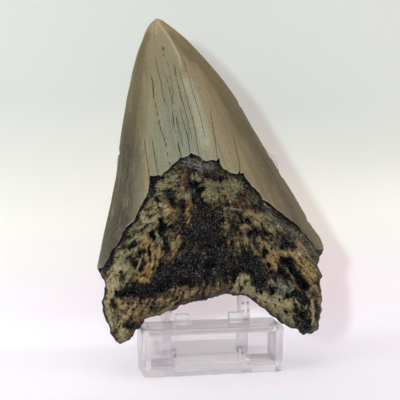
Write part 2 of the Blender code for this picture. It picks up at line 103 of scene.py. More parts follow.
ENAMEL_FRONT = [
    (-40.3, 20.6), (-38.3, 21.2), (-36.9, 23.3), (-35.6, 25.6), (-35.0, 27.0), (-33.5, 28.3),
    (-32.2, 30.5), (-31.3, 32.0), (-30.7, 33.5), (-29.2, 35.4), (-27.4, 36.7), (-26.7, 37.5),
    (-26.1, 39.0), (-24.8, 41.4), (-23.3, 44.1), (-22.4, 45.5), (-21.5, 47.6), (-21.1, 50.6),
    (-21.0, 53.6), (-19.4, 53.0), (-17.5, 53.2), (-16.9, 52.6), (-16.2, 53.4), (-14.9, 54.6),
    (-13.8, 55.3), (-12.5, 56.7), (-11.2, 57.7), (-10.1, 58.9), (-9.5, 59.8), (-9.0, 59.1), (-7.7, 59.6),
    (-6.7, 59.7), (-6.0, 60.9), (-4.8, 60.2), (-3.0, 59.5), (-1.5, 58.0), (-0.1, 57.6), (2.0, 57.8),
    (3.6, 57.8), (4.4, 58.6), (4.8, 56.1), (5.7, 54.6), (6.8, 53.8), (8.3, 53.1), (9.8, 52.7),
    (11.3, 52.7), (12.1, 54.2), (12.5, 53.0), (13.5, 53.6), (13.9, 52.3), (14.6, 51.1), (16.0, 49.0),
    (17.5, 47.6), (19.0, 46.3), (20.0, 44.8), (20.5, 43.5), (22.1, 43.0), (23.7, 42.0), (25.3, 40.7),
    (27.8, 39.0), (30.6, 37.2), (32.6, 35.9), (34.7, 34.3), (36.2, 32.8), (37.2, 31.4), (38.3, 30.3),
    (39.2, 28.9), (40.5, 27.6), (41.6, 26.2), (43.2, 25.2), (45.0, 25.4),
]
ENAMEL_BACK = [
    (-40.3, 20.6), (-34.0, 24.6), (-24.0, 31.5), (-12.0, 37.6), (2.0, 40.8), (15.0, 39.2), (28.0, 34.4),
    (39.0, 28.6), (45.0, 25.4),
]

# Crests, gashes and a fibre that both the relief and the stains follow, in millimetres. On the two crests
# the stain is a painted highlight.
TIP_CREST = [
    (-14.8, 113.4), (-13.6, 110.9), (-11.6, 107.5), (-10.3, 104.7), (-9.1, 101.6), (-7.9, 98.8),
    (-7.2, 95.2),
]
SHOULDER_CREST = [(20.9, 42.0), (25.0, 39.9), (30.3, 36.4), (34.2, 33.4), (36.8, 30.9)]
LEFT_GASH = [(-21.8, 34.8), (-24.8, 33.4), (-27.8, 31.6), (-30.6, 30.4)]
MIDDLE_GASH = [(-18.4, 36.6), (-17.3, 33.4), (-17.3, 29.6), (-16.3, 26.4)]
GOLDEN_FIBRE = [(-23.2, 29.3), (-22.8, 25.8), (-22.6, 22.9), (-23.7, 19.4), (-26.0, 16.3)]

# Relief of the root's face in millimetres: (path, half width, height), negative for a groove or a pit.
ROOT_RELIEF = [
    ([(-31.0, 31.0), (-24.6, 35.1), (-19.4, 37.0), (-12.1, 40.5)], 1.9, 1.3),
    ([(-30.0, 27.5), (-24.0, 31.0), (-16.0, 33.5)], 2.0, -1.0),
    ([(-22.3, 32.5), (-25.6, 27.0), (-29.4, 20.0), (-33.5, 13.5)], 2.2, 1.2),
    ([(-27.5, 28.5), (-31.0, 22.0), (-34.0, 16.5)], 1.7, -1.0),
    ([(-15.0, 31.5), (-19.5, 24.0), (-25.0, 16.0)], 2.0, 0.9),
    ([(-33.9, 11.0), (-24.3, 10.3), (-16.9, 13.3), (-10.1, 14.4)], 1.9, -1.5),
    ([(-31.0, 3.0), (-20.0, 6.5), (-11.0, 10.2), (0.0, 11.5), (12.0, 12.5), (21.0, 8.5)], 2.2, 1.1),
    ([(-1.4, 20.0), (-1.0, 20.4)], 1.7, -2.6),
    ([(11.0, 14.8), (11.6, 15.2)], 1.8, 1.2),
    ([(28.0, 20.8), (31.7, 15.5), (35.1, 9.8)], 1.7, -2.2),
    ([(37.6, 7.0), (37.3, 1.6), (37.3, -2.5)], 1.4, 1.3),
    ([(32.5, 22.5), (36.0, 16.5), (38.6, 11.0)], 1.8, 1.2),
    ([(21.5, 42.5), (29.5, 36.6), (40.0, 28.6)], 1.7, -1.1),
    ([(-5.7, 56.0), (-4.2, 50.0), (-3.8, 42.0)], 1.8, -1.4),
    ([(5.5, 50.8), (13.4, 46.5), (19.5, 39.0)], 1.9, -1.1),
    ([(13.0, 38.0), (17.0, 30.0), (23.0, 22.5)], 2.2, 1.0),
    ([(-12.5, 37.0), (-12.0, 30.0), (-14.0, 23.0)], 2.0, 1.1),
    ([(24.0, 33.0), (31.0, 29.0)], 2.2, 0.9),
]
# Ridges and grooves too fine for the solid, on the front only. A separate script scaled most heights.
FINE_RELIEF = [
    ([(-14.7, 52.3), (-15.9, 49.4), (-18.1, 47.7), (-20.0, 45.6), (-20.8, 42.7)], 0.9, 0.62),
    ([(-17.6, 41.8), (-19.6, 40.6), (-22.0, 39.8), (-24.0, 40.0)], 0.5, 0.5),
    ([(-24.4, 40.1), (-23.7, 37.8), (-21.7, 35.5), (-19.4, 35.9)], 0.5, 0.43),
    ([(-15.8, 38.8), (-15.4, 38.8)], 2.0, 0.68),
    ([(-8.4, 40.0), (-8.6, 36.4), (-8.3, 33.1)], 0.9, 0.5),
    ([(-12.8, 30.1), (-12.1, 27.6), (-13.5, 26.3)], 0.9, 0.43),
    (GOLDEN_FIBRE, 0.5, 0.5),
    ([(-21.4, 28.2), (-21.2, 24.6), (-21.3, 21.4), (-22.7, 18.3), (-25.0, 15.5)], 0.45, 0.43),
    ([(-19.4, 26.2), (-19.8, 21.7), (-21.3, 17.9), (-23.9, 14.8)], 0.45, 0.43),
    ([(-24.6, 28.3), (-24.7, 24.1), (-26.5, 20.3), (-29.2, 17.1), (-31.9, 13.9)], 0.5, 0.5),
    ([(-26.6, 27.1), (-27.6, 23.1), (-29.5, 20.3), (-31.6, 17.9)], 0.45, 0.37),
    ([(-34.2, 22.5), (-33.4, 18.6), (-35.4, 14.4), (-35.9, 10.8)], 0.8, 0.37),
    ([(-22.3, 2.6), (-17.6, 3.5), (-14.8, 5.8), (-11.2, 8.5), (-6.3, 10.3)], 0.5, 0.31),
    ([(-20.0, 6.4), (-15.5, 8.5), (-10.4, 10.7), (-5.3, 11.6)], 0.45, 0.31),
    ([(30.8, 22.6), (33.9, 18.5), (36.4, 14.4), (37.4, 10.7)], 0.5, 0.43),
    ([(32.9, 23.2), (35.9, 19.1), (38.3, 14.3), (39.6, 10.3)], 0.5, 0.43),
    ([(37.5, 6.7), (36.9, 1.9), (37.0, -2.4)], 0.45, 0.56),
    ([(35.3, 6.0), (35.6, 2.7), (35.2, -1.2)], 0.4, 0.37),
    ([(14.1, 10.1), (19.9, 7.7), (25.8, 5.3), (30.8, 1.5)], 0.5, 0.37),
    ([(19.0, 6.4), (23.8, 3.3), (29.0, -1.2)], 0.45, 0.31),
    ([(10.9, 14.9), (11.3, 14.9)], 1.1, 0.62),
    ([(5.2, 39.2), (10.9, 39.2)], 0.4, 0.37),
    ([(14.1, 37.3), (19.7, 36.9)], 0.5, 0.43),
    ([(19.4, 27.0), (23.2, 23.4), (28.4, 23.1)], 0.6, 0.43),
    ([(21.0, 21.6), (23.5, 18.3)], 0.8, 0.43),
    ([(11.5, 33.4), (12.2, 29.2), (13.7, 25.3)], 0.6, 0.37),
    ([(4.0, 35.9), (3.9, 32.4)], 0.7, 0.37),
    ([(23.1, 38.4), (27.9, 34.8), (33.4, 31.1), (39.7, 26.3)], 0.7, 0.37),
    ([(-34.7, 8.5), (-30.6, 6.6), (-26.2, 7.2)], 0.8, 0.37),
    ([(-36.2, 5.1), (-32.2, 2.7), (-26.4, 2.5)], 0.6, 0.37),
    ([(-4.4, 52.5), (-3.1, 48.4)], 0.8, 0.5),
    ([(-9.2, 51.5), (-9.9, 46.9), (-8.5, 43.7)], 0.6, 0.37),
    (LEFT_GASH, 0.6, -1.2),
    (MIDDLE_GASH, 0.7, -0.99),
    ([(-14.7, 47.3), (-14.4, 43.8), (-13.3, 40.9)], 0.9, -1.1),
    ([(-11.1, 42.0), (-9.8, 40.1)], 1.1, -0.99),
    ([(-29.9, 23.7), (-28.4, 21.7)], 1.1, -1.2),
    ([(-6.6, 52.9), (-6.6, 48.3), (-6.0, 42.9)], 0.8, -1.2),
    ([(-21.4, 51.7), (-20.5, 48.0), (-21.7, 44.8)], 0.9, -0.81),
    ([(-22.1, 26.8), (-21.9, 22.9), (-22.7, 19.4), (-24.9, 16.6)], 0.35, -0.54),
    ([(-20.4, 26.7), (-20.5, 22.1), (-21.6, 19.0)], 0.35, -0.54),
    ([(-25.7, 27.0), (-25.8, 23.0), (-27.6, 20.0), (-30.3, 16.7)], 0.35, -0.54),
    ([(-0.1, 52.3), (2.4, 51.1), (6.6, 51.1)], 0.8, -0.9),
    ([(15.9, 31.9), (17.1, 29.5)], 0.6, -0.9),
    ([(19.2, 32.0), (20.3, 29.9)], 0.6, -0.9),
    ([(31.7, 22.9), (34.7, 18.4), (37.0, 13.9)], 0.35, -0.54),
    ([(29.2, 21.0), (30.3, 17.3), (33.3, 14.0), (35.9, 10.5)], 1.1, -1.8),
    ([(25.2, 17.3), (27.5, 15.1)], 1.1, -1.2),
    ([(30.0, 8.7), (34.2, 6.8)], 1.2, -1.2),
    ([(33.0, 1.7), (34.3, -3.6)], 1.8, -1.4),
    ([(36.3, 5.2), (36.0, -2.0)], 0.4, -0.72),
    ([(8.3, 10.6), (14.4, 9.4), (19.4, 10.1)], 0.35, -0.72),
    ([(7.7, 16.2), (9.5, 15.4)], 0.8, -0.9),
    ([(-36.1, 8.6), (-34.5, 5.3)], 0.6, -0.72),
    ([(-31.5, -0.4), (-27.3, -1.2)], 0.7, -0.72),
    ([(-19.1, 4.8), (-14.7, 7.1), (-9.5, 9.4)], 0.35, -0.45),
    ([(16.9, 8.0), (22.2, 5.1), (27.7, 1.6)], 0.35, -0.54),
    (SHOULDER_CREST, 0.45, 0.6),
]
TIP_RIDGE = (TIP_CREST, 1.0, 0.9)

# Hairline cracks that run down the enamel, from the tip's side to the root's, in millimetres.
CRACKS = [
    (1.0, [(-18.5, 93.7), (-18.0, 88.8), (-17.7, 82.1), (-17.4, 79.3), (-16.6, 74.5), (-16.1, 70.6),
           (-15.3, 67.6), (-14.5, 63.4), (-14.0, 59.6), (-13.3, 55.9)]),
    (0.7, [(-16.5, 100.5), (-16.3, 99.1), (-15.9, 94.8), (-15.1, 88.5), (-14.6, 82.8), (-14.0, 80.2)]),
    (0.45, [(-13.9, 84.8), (-13.4, 80.3), (-13.0, 76.9), (-12.6, 70.3), (-12.3, 66.5), (-11.8, 62.6),
            (-11.6, 59.5)]),
    (0.6, [(-13.4, 99.7), (-12.5, 97.1), (-12.0, 95.0), (-11.8, 92.4), (-11.3, 88.4), (-10.8, 83.4)]),
    (0.95, [(-13.5, 93.4), (-12.9, 89.7), (-12.2, 87.7), (-11.9, 84.5), (-11.2, 79.9), (-10.8, 77.1),
            (-10.1, 72.9), (-9.6, 70.1), (-9.1, 67.6), (-8.7, 63.8)]),
    (1.0, [(-11.8, 79.0), (-11.5, 74.1), (-11.2, 70.5), (-10.7, 68.5), (-10.5, 65.8), (-9.9, 62.5),
           (-9.3, 58.7)]),
    (0.9, [(-10.1, 97.8), (-9.7, 95.5), (-9.5, 91.5), (-9.2, 89.5), (-8.4, 84.7), (-8.0, 81.9), (-7.2, 78.6),
           (-6.7, 75.8), (-6.2, 72.5), (-5.7, 69.4), (-5.2, 66.5)]),
    (1.0, [(-8.9, 80.5), (-8.5, 75.8), (-8.0, 73.3), (-7.4, 70.6), (-6.9, 68.3), (-6.4, 64.5), (-6.2, 61.8),
           (-5.9, 59.3)]),
    (0.85, [(-8.2, 94.8), (-7.3, 88.6), (-6.8, 86.6), (-6.3, 83.5), (-5.5, 79.1), (-4.8, 75.5), (-4.2, 73.0),
            (-3.6, 68.3), (-3.1, 62.2), (-2.9, 59.0)]),
    (0.8, [(-5.9, 99.5), (-5.4, 93.2), (-4.5, 89.5), (-3.7, 85.0), (-2.7, 80.3), (-2.2, 78.8), (-1.5, 75.2),
           (-1.1, 73.5), (-0.8, 70.2), (-0.3, 66.9)]),
    (1.0, [(2.2, 79.0), (3.0, 74.6), (3.2, 68.7), (3.6, 66.2), (3.7, 62.7), (3.9, 56.8)]),
    (1.0, [(10.6, 71.0), (11.3, 66.7), (11.9, 63.7), (12.2, 59.7), (12.4, 55.3), (12.1, 51.5)]),
    (0.9, [(-22.1, 70.0), (-21.6, 63.6), (-21.2, 58.8), (-20.9, 54.0), (-20.9, 51.9)]),
    (0.8, [(-19.5, 70.0), (-19.0, 64.2), (-18.6, 59.4), (-18.0, 54.6), (-17.8, 51.5)]),
    (0.35, [(-17.2, 60.0), (-16.8, 57.3), (-16.1, 54.0), (-15.8, 51.8)]),
]
CRACK_WANDER = 0.12 * MM
CRACK_FADE = 5.0 * MM
CRACK_WIDTH = 0.3 * MM
CRACK_DEPTH = 0.10 * MM
CRACK_WANDER_SIZE = 2.6 * MM
CRACK_WANDER_SEED = 51.2
CRACK_TAIL = 1.5 * MM
# Millimetres to the side of a crack: where its mark has gone, where it is whole, and past all cracks.
CRACK_REACH = (0.75, 0.45)
NO_CRACK = 9.0

# Where each stain, and each painted highlight or shade, lies on the face: lists of (path, half width) in
# millimetres.
STAINS = {
    "olive": [
        ([(-15.1, 52.0), (-15.9, 49.4), (-18.1, 47.7), (-20.0, 45.6), (-20.5, 43.0)], 2.6),
        ([(-2.2, 47.5), (1.8, 48.8), (6.4, 48.9), (10.9, 48.1)], 2.6),
        ([(-1.5, 44.4), (2.7, 43.8), (7.5, 45.4)], 2.2),
        ([(-26.3, 30.9), (-28.8, 27.5), (-31.4, 24.3)], 2.6),
        ([(-23.8, 33.9), (-21.2, 32.2), (-19.9, 29.9)], 1.6),
        ([(-33.7, 24.7), (-34.3, 21.0)], 1.4),
        ([(-38.5, 8.0), (-38.0, 4.7), (-36.5, 1.0)], 1.5),
        ([(-33.6, 0.7), (-32.9, -2.1), (-32.8, -4.8)], 2.0),
        ([(16.7, 36.7), (19.7, 34.6), (22.7, 31.7)], 2.4),
        ([(32.9, 25.9), (36.5, 23.7), (38.4, 20.6)], 1.8),
        ([(23.3, 4.3), (26.7, 1.4), (29.7, -1.6)], 2.4),
        ([(-10.3, 43.1), (-8.8, 44.5)], 1.2),
        ([(-26.2, 36.5), (-28.0, 33.9)], 1.0),
    ],
    "brown": [
        ([(-17.5, 39.1), (-15.5, 40.3), (-13.9, 38.4), (-15.9, 36.8)], 1.6),
        ([(-18.0, 24.1), (-16.0, 22.9), (-13.8, 23.9)], 1.8),
        ([(-34.0, 8.5), (-30.6, 6.2), (-26.9, 7.2)], 2.8),
        ([(-34.9, 4.3), (-30.8, 3.0), (-25.7, 3.2)], 2.6),
        ([(-19.3, 7.8), (-14.7, 9.9), (-10.4, 11.5), (-6.0, 12.0)], 1.6),
        ([(-8.1, 52.2), (-9.4, 48.4), (-10.8, 45.4)], 1.5),
        ([(8.0, 43.1), (10.7, 41.0), (13.9, 40.8)], 1.2),
        ([(10.7, 32.4), (11.4, 28.8), (13.0, 26.0)], 1.9),
        ([(18.6, 28.0), (20.9, 24.5)], 1.8),
        ([(39.3, 14.0), (40.0, 8.9), (40.1, 3.8)], 0.9),
        ([(5.2, 12.1), (0.2, 10.6), (-4.2, 9.7)], 0.6),
    ],
    "golden": [
        ([(-12.8, 42.9), (-13.9, 41.8)], 0.9),
        ([(-8.4, 39.6), (-8.6, 36.7), (-8.3, 33.5)], 1.3),
        ([(-13.1, 29.7), (-12.1, 27.9), (-13.5, 26.3)], 1.3),
        (GOLDEN_FIBRE, 1.3),
        ([(-20.1, 25.6), (-20.5, 21.7), (-22.4, 17.9), (-24.6, 15.2)], 1.1),
        ([(-22.4, 2.9), (-17.6, 3.5), (-15.3, 5.8), (-11.6, 8.5), (-6.6, 10.0)], 0.8),
        ([(3.9, 35.6), (3.9, 32.8)], 1.2),
        ([(12.6, 29.2), (13.0, 26.0)], 1.0),
        ([(21.0, 25.5), (24.0, 22.6), (27.9, 23.1)], 1.4),
        ([(21.0, 20.9), (23.1, 18.3)], 1.7),
        ([(31.1, 22.6), (34.0, 19.2), (36.3, 15.1), (37.7, 11.4)], 1.5),
        ([(34.1, 22.1), (36.9, 18.4), (39.3, 14.4)], 1.2),
        ([(-32.8, 5.9), (-28.5, 4.7)], 1.3),
    ],
    "pale": [
        ([(-18.0, 41.4), (-19.6, 40.6), (-21.7, 39.8)], 0.7),
        ([(-23.9, 39.8), (-23.1, 37.3), (-21.4, 35.8), (-19.0, 37.4)], 0.8),
        ([(-32.7, 20.0), (-35.1, 18.1), (-36.3, 14.5), (-35.5, 11.5)], 2.0),
        ([(-26.5, 21.7), (-28.4, 18.9), (-30.7, 15.4)], 1.0),
        ([(10.1, 15.0), (12.3, 14.6)], 1.0),
        ([(9.5, 12.6), (13.6, 9.8), (18.6, 8.1), (23.5, 6.4), (28.0, 4.8)], 2.0),
        ([(37.4, 5.9), (36.9, -2.1)], 0.5),
        ([(5.2, 39.2), (10.5, 39.2)], 0.4),
        ([(14.1, 37.3), (19.3, 37.3)], 0.6),
        ([(-4.4, 52.1), (-3.4, 49.2)], 1.2),
        ([(31.8, 5.4), (34.3, 3.9)], 1.0),
        # Along the shoulder's crest, the pale line is a painted highlight on the ridge under the enamel's
        # edge.
        (SHOULDER_CREST, 0.35),
        ([(-15.5, 35.4), (-14.2, 33.8)], 0.9),
    ],
    "rust": [
        ([(7.8, 41.5), (11.3, 40.3), (15.5, 40.2), (19.7, 39.3)], 1.4),
        ([(-10.1, 41.9), (-8.8, 40.4)], 0.8),
        ([(21.0, 20.2), (22.5, 17.3)], 0.8),
    ],
    "teal": [
        ([(22.2, 38.7), (25.5, 35.0), (29.9, 33.8)], 1.7),
        ([(31.5, 32.6), (34.6, 30.4), (38.1, 27.4), (41.2, 24.1)], 1.9),
        ([(22.4, 12.3), (25.5, 10.7), (28.9, 9.9)], 1.8),
        ([(-21.2, 33.2), (-19.9, 30.6)], 0.9),
    ],
    "slate": [
        ([(-1.2, 57.2), (1.6, 55.7)], 1.6),
        ([(-8.2, 58.4), (-5.3, 56.9), (-2.8, 55.0)], 1.8),
        ([(-12.3, 52.1), (-11.5, 49.3)], 1.0),
        ([(-6.5, 48.8), (-5.3, 44.5)], 0.8),
    ],
    "tar": [
        ([(27.8, 37.5), (31.5, 34.9), (34.5, 32.4)], 0.6),
        ([(13.8, 51.0), (15.6, 47.8)], 1.0),
        ([(-20.3, 53.0), (-20.2, 48.0), (-21.3, 44.7)], 1.5),
        ([(-19.6, 52.3), (-16.9, 51.9)], 1.4),
        ([(-23.9, 42.3), (-26.5, 37.7), (-29.8, 33.9), (-32.7, 29.5), (-35.7, 25.2), (-37.3, 20.6)], 0.8),
        ([(-35.4, 25.6), (-36.6, 21.3)], 1.3),
        (LEFT_GASH, 0.8),
        (MIDDLE_GASH, 0.9),
        ([(-14.8, 46.9), (-14.4, 43.8), (-13.3, 40.9)], 1.2),
        ([(-11.1, 42.0), (-10.2, 39.7)], 1.3),
        ([(-29.6, 23.3), (-28.3, 22.0)], 1.3),
        ([(-6.6, 52.9), (-6.6, 48.3), (-6.0, 43.3)], 1.0),
        ([(-8.0, 30.3), (-2.5, 37.2), (-0.1, 30.1), (-4.6, 23.2), (3.5, 20.5), (8.4, 18.3), (-9.8, 18.9),
          (-15.3, 16.6)], 5.2),
        ([(-17.1, 19.1), (-18.7, 14.4), (-22.4, 11.7), (-27.8, 11.8), (-31.8, 11.6)], 2.2),
        ([(-0.1, 52.3), (2.0, 51.1), (6.2, 51.1)], 1.1),
        ([(12.7, 39.5), (18.2, 40.4), (20.5, 38.9)], 0.9),
        ([(16.3, 31.6), (17.8, 29.8), (20.0, 31.3)], 0.9),
        ([(27.5, 28.1), (30.9, 25.9)], 1.4),
        ([(29.6, 20.3), (30.6, 17.3), (33.7, 13.6), (35.6, 10.6)], 1.7),
        ([(25.2, 16.9), (27.5, 15.4)], 1.4),
        ([(30.4, 8.4), (34.2, 6.8)], 1.6),
        ([(33.3, 1.0), (34.2, -3.3), (31.6, -1.8)], 2.4),
        ([(7.7, 16.2), (9.5, 15.4)], 0.9),
        ([(14.8, 20.3), (17.1, 15.6), (18.4, 11.6)], 2.6),
        ([(-36.1, 8.3), (-34.8, 5.7)], 0.7),
        ([(-31.1, -0.8), (-27.7, -0.8)], 1.0),
        ([(14.6, 12.1), (18.3, 10.9)], 1.4),
    ],
    "blush": [
        ([(-6.0, 98.0), (-4.2, 89.5)], 1.3),
        ([(-1.5, 97.0), (0.5, 86.0), (2.0, 76.0)], 2.4),
        ([(1.6, 66.0), (2.0, 61.5), (2.4, 57.5)], 1.2),
        ([(5.0, 75.0), (6.4, 66.0), (8.3, 56.0)], 1.8),
        ([(12.8, 62.0), (15.5, 54.0)], 1.4),
    ],
    # crest: a painted highlight along the tip's crest and down its left spine.
    "crest": [
        (TIP_CREST, 0.55),
        ([(-15.2, 112.1), (-15.4, 107.8)], 0.3),
    ],
    # shade: painted shade on the flanks beside the crest and along both margins of the crown.
    "shade": [
        ([(-10.0, 108.0), (-7.4, 104.4), (-5.4, 101.0), (-2.8, 97.5)], 1.5),
        ([(-3.1, 100.9), (2.6, 93.1), (7.9, 84.1), (15.5, 68.7)], 1.5),
        ([(-18.6, 108.0), (-20.5, 104.1), (-22.3, 94.3), (-23.6, 84.6), (-26.9, 67.6)], 1.7),
    ],
    "bloom": [
        ([(-5.6, 88.0), (-3.3, 82.6), (-1.7, 73.3), (-0.1, 64.4)], 2.8),
    ],
    "bluish": [
        ([(-15.6, 77.5), (-15.1, 73.0), (-14.3, 68.5)], 1.2),
        ([(-9.0, 66.5), (-5.5, 62.5)], 1.6),
    ],
    "pit": [
        ([(-13.4, 102.2), (-13.4, 101.3)], 0.5),
        ([(-13.5, 99.6), (-13.3, 98.8)], 0.3),
    ],
    "ochre": [
        ([(-22.3, 60.5), (-21.9, 57.4), (-21.6, 54.0)], 0.75),
        ([(-22.0, 52.4), (-22.0, 48.0)], 0.6),
        ([(-1.6, 101.8), (-0.6, 100.6)], 0.5),
        ([(4.6, 95.9), (6.3, 94.7)], 0.5),
        ([(11.0, 66.7), (11.8, 59.7), (13.2, 54.0)], 0.6),
    ],
}


def along(points, where):
    """Points of a smooth curve through the outline's points, at the fractions `where` of its length."""
    points = np.array(points) * MM
    steps = np.linalg.norm(np.diff(points, axis=0), axis=1)
    knots = np.concatenate([[0], np.cumsum(steps)]) / steps.sum()
    slopes = np.gradient(points, knots, axis=0)
    where = np.clip(where, 0, 1)
    index = np.clip(np.searchsorted(knots, where, side="right") - 1, 0, len(knots) - 2)
    span = knots[index + 1] - knots[index]
    u = ((where - knots[index]) / span)[:, None]
    span = span[:, None]
    start = (2 * u**3 - 3 * u**2 + 1) * points[index] + (u**3 - 2 * u**2 + u) * span * slopes[index]
    end = (3 * u**2 - 2 * u**3) * points[index + 1] + (u**3 - u**2) * span * slopes[index + 1]
    return start + end


def patch(top, bottom, left, right, across, down):
    """A grid of points between four edge curves, row by row from the top (a Coons patch)."""
    s = across[None, :, None]
    t = down[:, None, None]
    sides = (1 - s) * left[:, None] + s * right[:, None]
    ends = (1 - t) * top[None] + t * bottom[None]
    corners = (1 - t) * ((1 - s) * top[0] + s * top[-1]) + t * ((1 - s) * bottom[0] + s * bottom[-1])
    return sides + ends - corners


def ease(low, high, value):
    u = np.clip((value - low) / (high - low), 0, 1)
    return u * u * (3 - 2 * u)


def near_path(places, path):
    """Each place's distance to a path of straight runs."""
    path = np.array(path) * MM
    nearest = np.full(places.shape[:-1], np.inf)
    for start, end in zip(path[:-1], path[1:]):
        run = end - start
        share = np.clip(((places - start) @ run) / (run @ run), 0, 1)
        away = np.linalg.norm(places - (start + share[..., None] * run), axis=-1)
        nearest = np.minimum(nearest, away)
    return nearest


def relief(places, features):
    height = np.zeros(places.shape[:-1])
    for path, half_width, amount in features:
        height += amount * MM * np.exp(-((near_path(places, path) / (half_width * MM)) ** 2))
    return height


def lumps(places, size, seed, stretch):
    """Smooth noise between -1 and 1 with lumps about `size` across, `stretch` times as tall as wide."""
    flat = places.reshape(-1, 2) / size
    values = [noise.noise(Vector((x, z / stretch, seed))) for x, z in flat]
    return np.array(values).reshape(places.shape[:-1])


def round_off(distance, radius):
    """A quarter-circle rise from 0 at an edge to 1 at `radius` from it."""
    inside = 1 - np.clip(distance / radius, 0, 1)
    return np.sqrt(np.maximum(1 - inside**2, 0))


def share_across(places):
    """How far each place lies from the tooth's left edge to its right edge, level with it, from 0 to 1."""
    fine = np.linspace(0, 1, 200)
    left = np.concatenate([along(CROWN_LEFT, fine), along(ROOT_LEFT, fine)])[::-1]
    right = np.concatenate([along(CROWN_RIGHT, fine), along(ROOT_RIGHT, fine)])[::-1]
    left_x = np.interp(places[..., 1], left[:, 1], left[:, 0])
    right_x = np.interp(places[..., 1], right[:, 1], right[:, 0])
    return np.clip((places[..., 0] - left_x) / np.maximum(right_x - left_x, 0.1 * MM), 0, 1)


def boss_shape(places):
    """The swelling of the root's middle, as a share of its height."""
    return np.exp(
        -(((places[..., 0] - BOSS_CENTRE[0]) / BOSS_SPREAD[0]) ** 2)
        - ((places[..., 1] - BOSS_CENTRE[1]) / BOSS_SPREAD[1]) ** 2
    )


def crown_height(places, front):
    """Height of the enamel face over the tooth's middle plane."""
    across = share_across(places)
    below_tip = np.maximum(TIP[1] * MM - places[..., 1], 0)
    if front:
        crest = 0.5 + CREST_OFFSET * np.exp(-below_tip / CREST_RETURN)
        off_crest = np.where(across < crest, (crest - across) / crest, (across - crest) / (1 - crest))
        bulge = CROWN_FRONT_BULGE * (1 - np.exp(-below_tip / BULGE_RISE))
        shape = (1 - np.clip(off_crest, 0, 1) ** FRONT_SECTION[0]) ** FRONT_SECTION[1]
        boss = BOSS_UNDER_ENAMEL * boss_shape(places)
        ridge = relief(places, [TIP_RIDGE]) * ease(0, 2 * MM, below_tip)
        return (bulge + boss) * shape + ridge * shape**0.3
    bulge = CROWN_BACK_BULGE * (1 - np.exp(-below_tip / BACK_BULGE_RISE))
    return bulge * (1 - np.abs(2 * across - 1) ** BACK_SECTION[0]) ** BACK_SECTION[1]


GRAIN_CENTRE = np.array([3.0, 54.0]) * MM
GRAIN_RADIUS = 35.0 * MM
# Finer relief than the solid has: (height, size of a grain, how many times longer than wide).
ROOT_GRIT = ((0.7 * MM, 1.9 * MM, 1.0), (0.4 * MM, 0.95 * MM, 1.0))
ROOT_FIBRES = (0.85 * MM, 1.3 * MM, 4.5)
LUMPS_SEED, GRIT_SEED, FIBRES_SEED = 3.1, 17.3, 29.4
BACK_GRIT_SHARE = 0.5
# How the outline is worn: (size of a bite, depth).
ROOT_WEAR = ((2.6 * MM, 0.7 * MM), (1.1 * MM, 0.35 * MM))


def root_grain(places):
    """The angle round the enamel's peak as a length, and the reach: the bone's fibres run out from there."""
    reach = np.linalg.norm(places - GRAIN_CENTRE, axis=-1)
    angle = np.arctan2(places[..., 0] - GRAIN_CENTRE[0], GRAIN_CENTRE[1] - places[..., 1])
    return np.stack([angle * GRAIN_RADIUS, reach], axis=-1)


# How paths on the bone stray: (size of a swerve, how far it goes).
WANDER_SEEDS = (71.3, 77.9)
PATH_WANDER = ((5.5 * MM, 1.0 * MM), (1.7 * MM, 0.65 * MM))


def wandered(places):
    """Each place moved a little by noise, so that what follows a path there strays from it."""
    moved = places.copy()
    for size, amount in PATH_WANDER:
        for axis, seed in enumerate(WANDER_SEEDS):
            moved[..., axis] += amount * lumps(places, size, seed, 1.0)
    return moved


def root_height(places, rounding, front):
    if front:
        surface = ROOT_FRONT_THICKNESS + BOSS_HEIGHT * boss_shape(places)
        surface = surface + relief(wandered(places), ROOT_RELIEF + FINE_RELIEF)
    else:
        surface = ROOT_BACK_THICKNESS - BACK_HOLLOW * boss_shape(places)
    for seed, (height, size, stretch) in enumerate(FRONT_LUMPS if front else BACK_LUMPS):
        surface = surface + height * lumps(places, size, seed + LUMPS_SEED, stretch)
    share = 1.0 if front else BACK_GRIT_SHARE
    for seed, (height, size, stretch) in enumerate(ROOT_GRIT):
        surface = surface + share * height * lumps(places, size, seed + GRIT_SEED, stretch)
    height, size, stretch = ROOT_FIBRES
    fibrous = 1 - stain(places, "tar")
    grain = root_grain(places)
    surface = surface + share * height * fibrous * lumps(grain, size, FIBRES_SEED, stretch)
    return surface * rounding


# Marks on the enamel keep to their paths. Stains on the bone stray from them.
ENAMEL_MARKS = ("blush", "crest", "shade", "bloom", "bluish", "pit", "ochre")


def stain(places, name):
    """How strongly a stain or painted mark covers each place, from 0 to 1."""
    cover = np.zeros(places.shape[:-1])
    if name not in ENAMEL_MARKS:
        places = wandered(places)
    for path, half_width in STAINS[name]:
        cover += np.exp(-((near_path(places, path) / (half_width * MM)) ** 2))
    return np.clip(cover, 0, 1)


ENAMEL_RAGGED = 0.35 * MM
RAGGED_SIZE = 1.2 * MM
RAGGED_SEED = 41.5
CROWN_CROWDING = 1.3
# Rows down the root: where the first lies, where the even ones start, and the shares of even and eased.
ROOT_FIRST_ROW = 0.004
ROOT_ROWS_START = 0.012
ROOT_SPREAD = (0.55, 0.45)
ROOT_WEAR_START = 0.12
ROOT_WEAR_SEEDS = (61.7, 67.3)
BACK_LEDGE_DIVISOR = 3


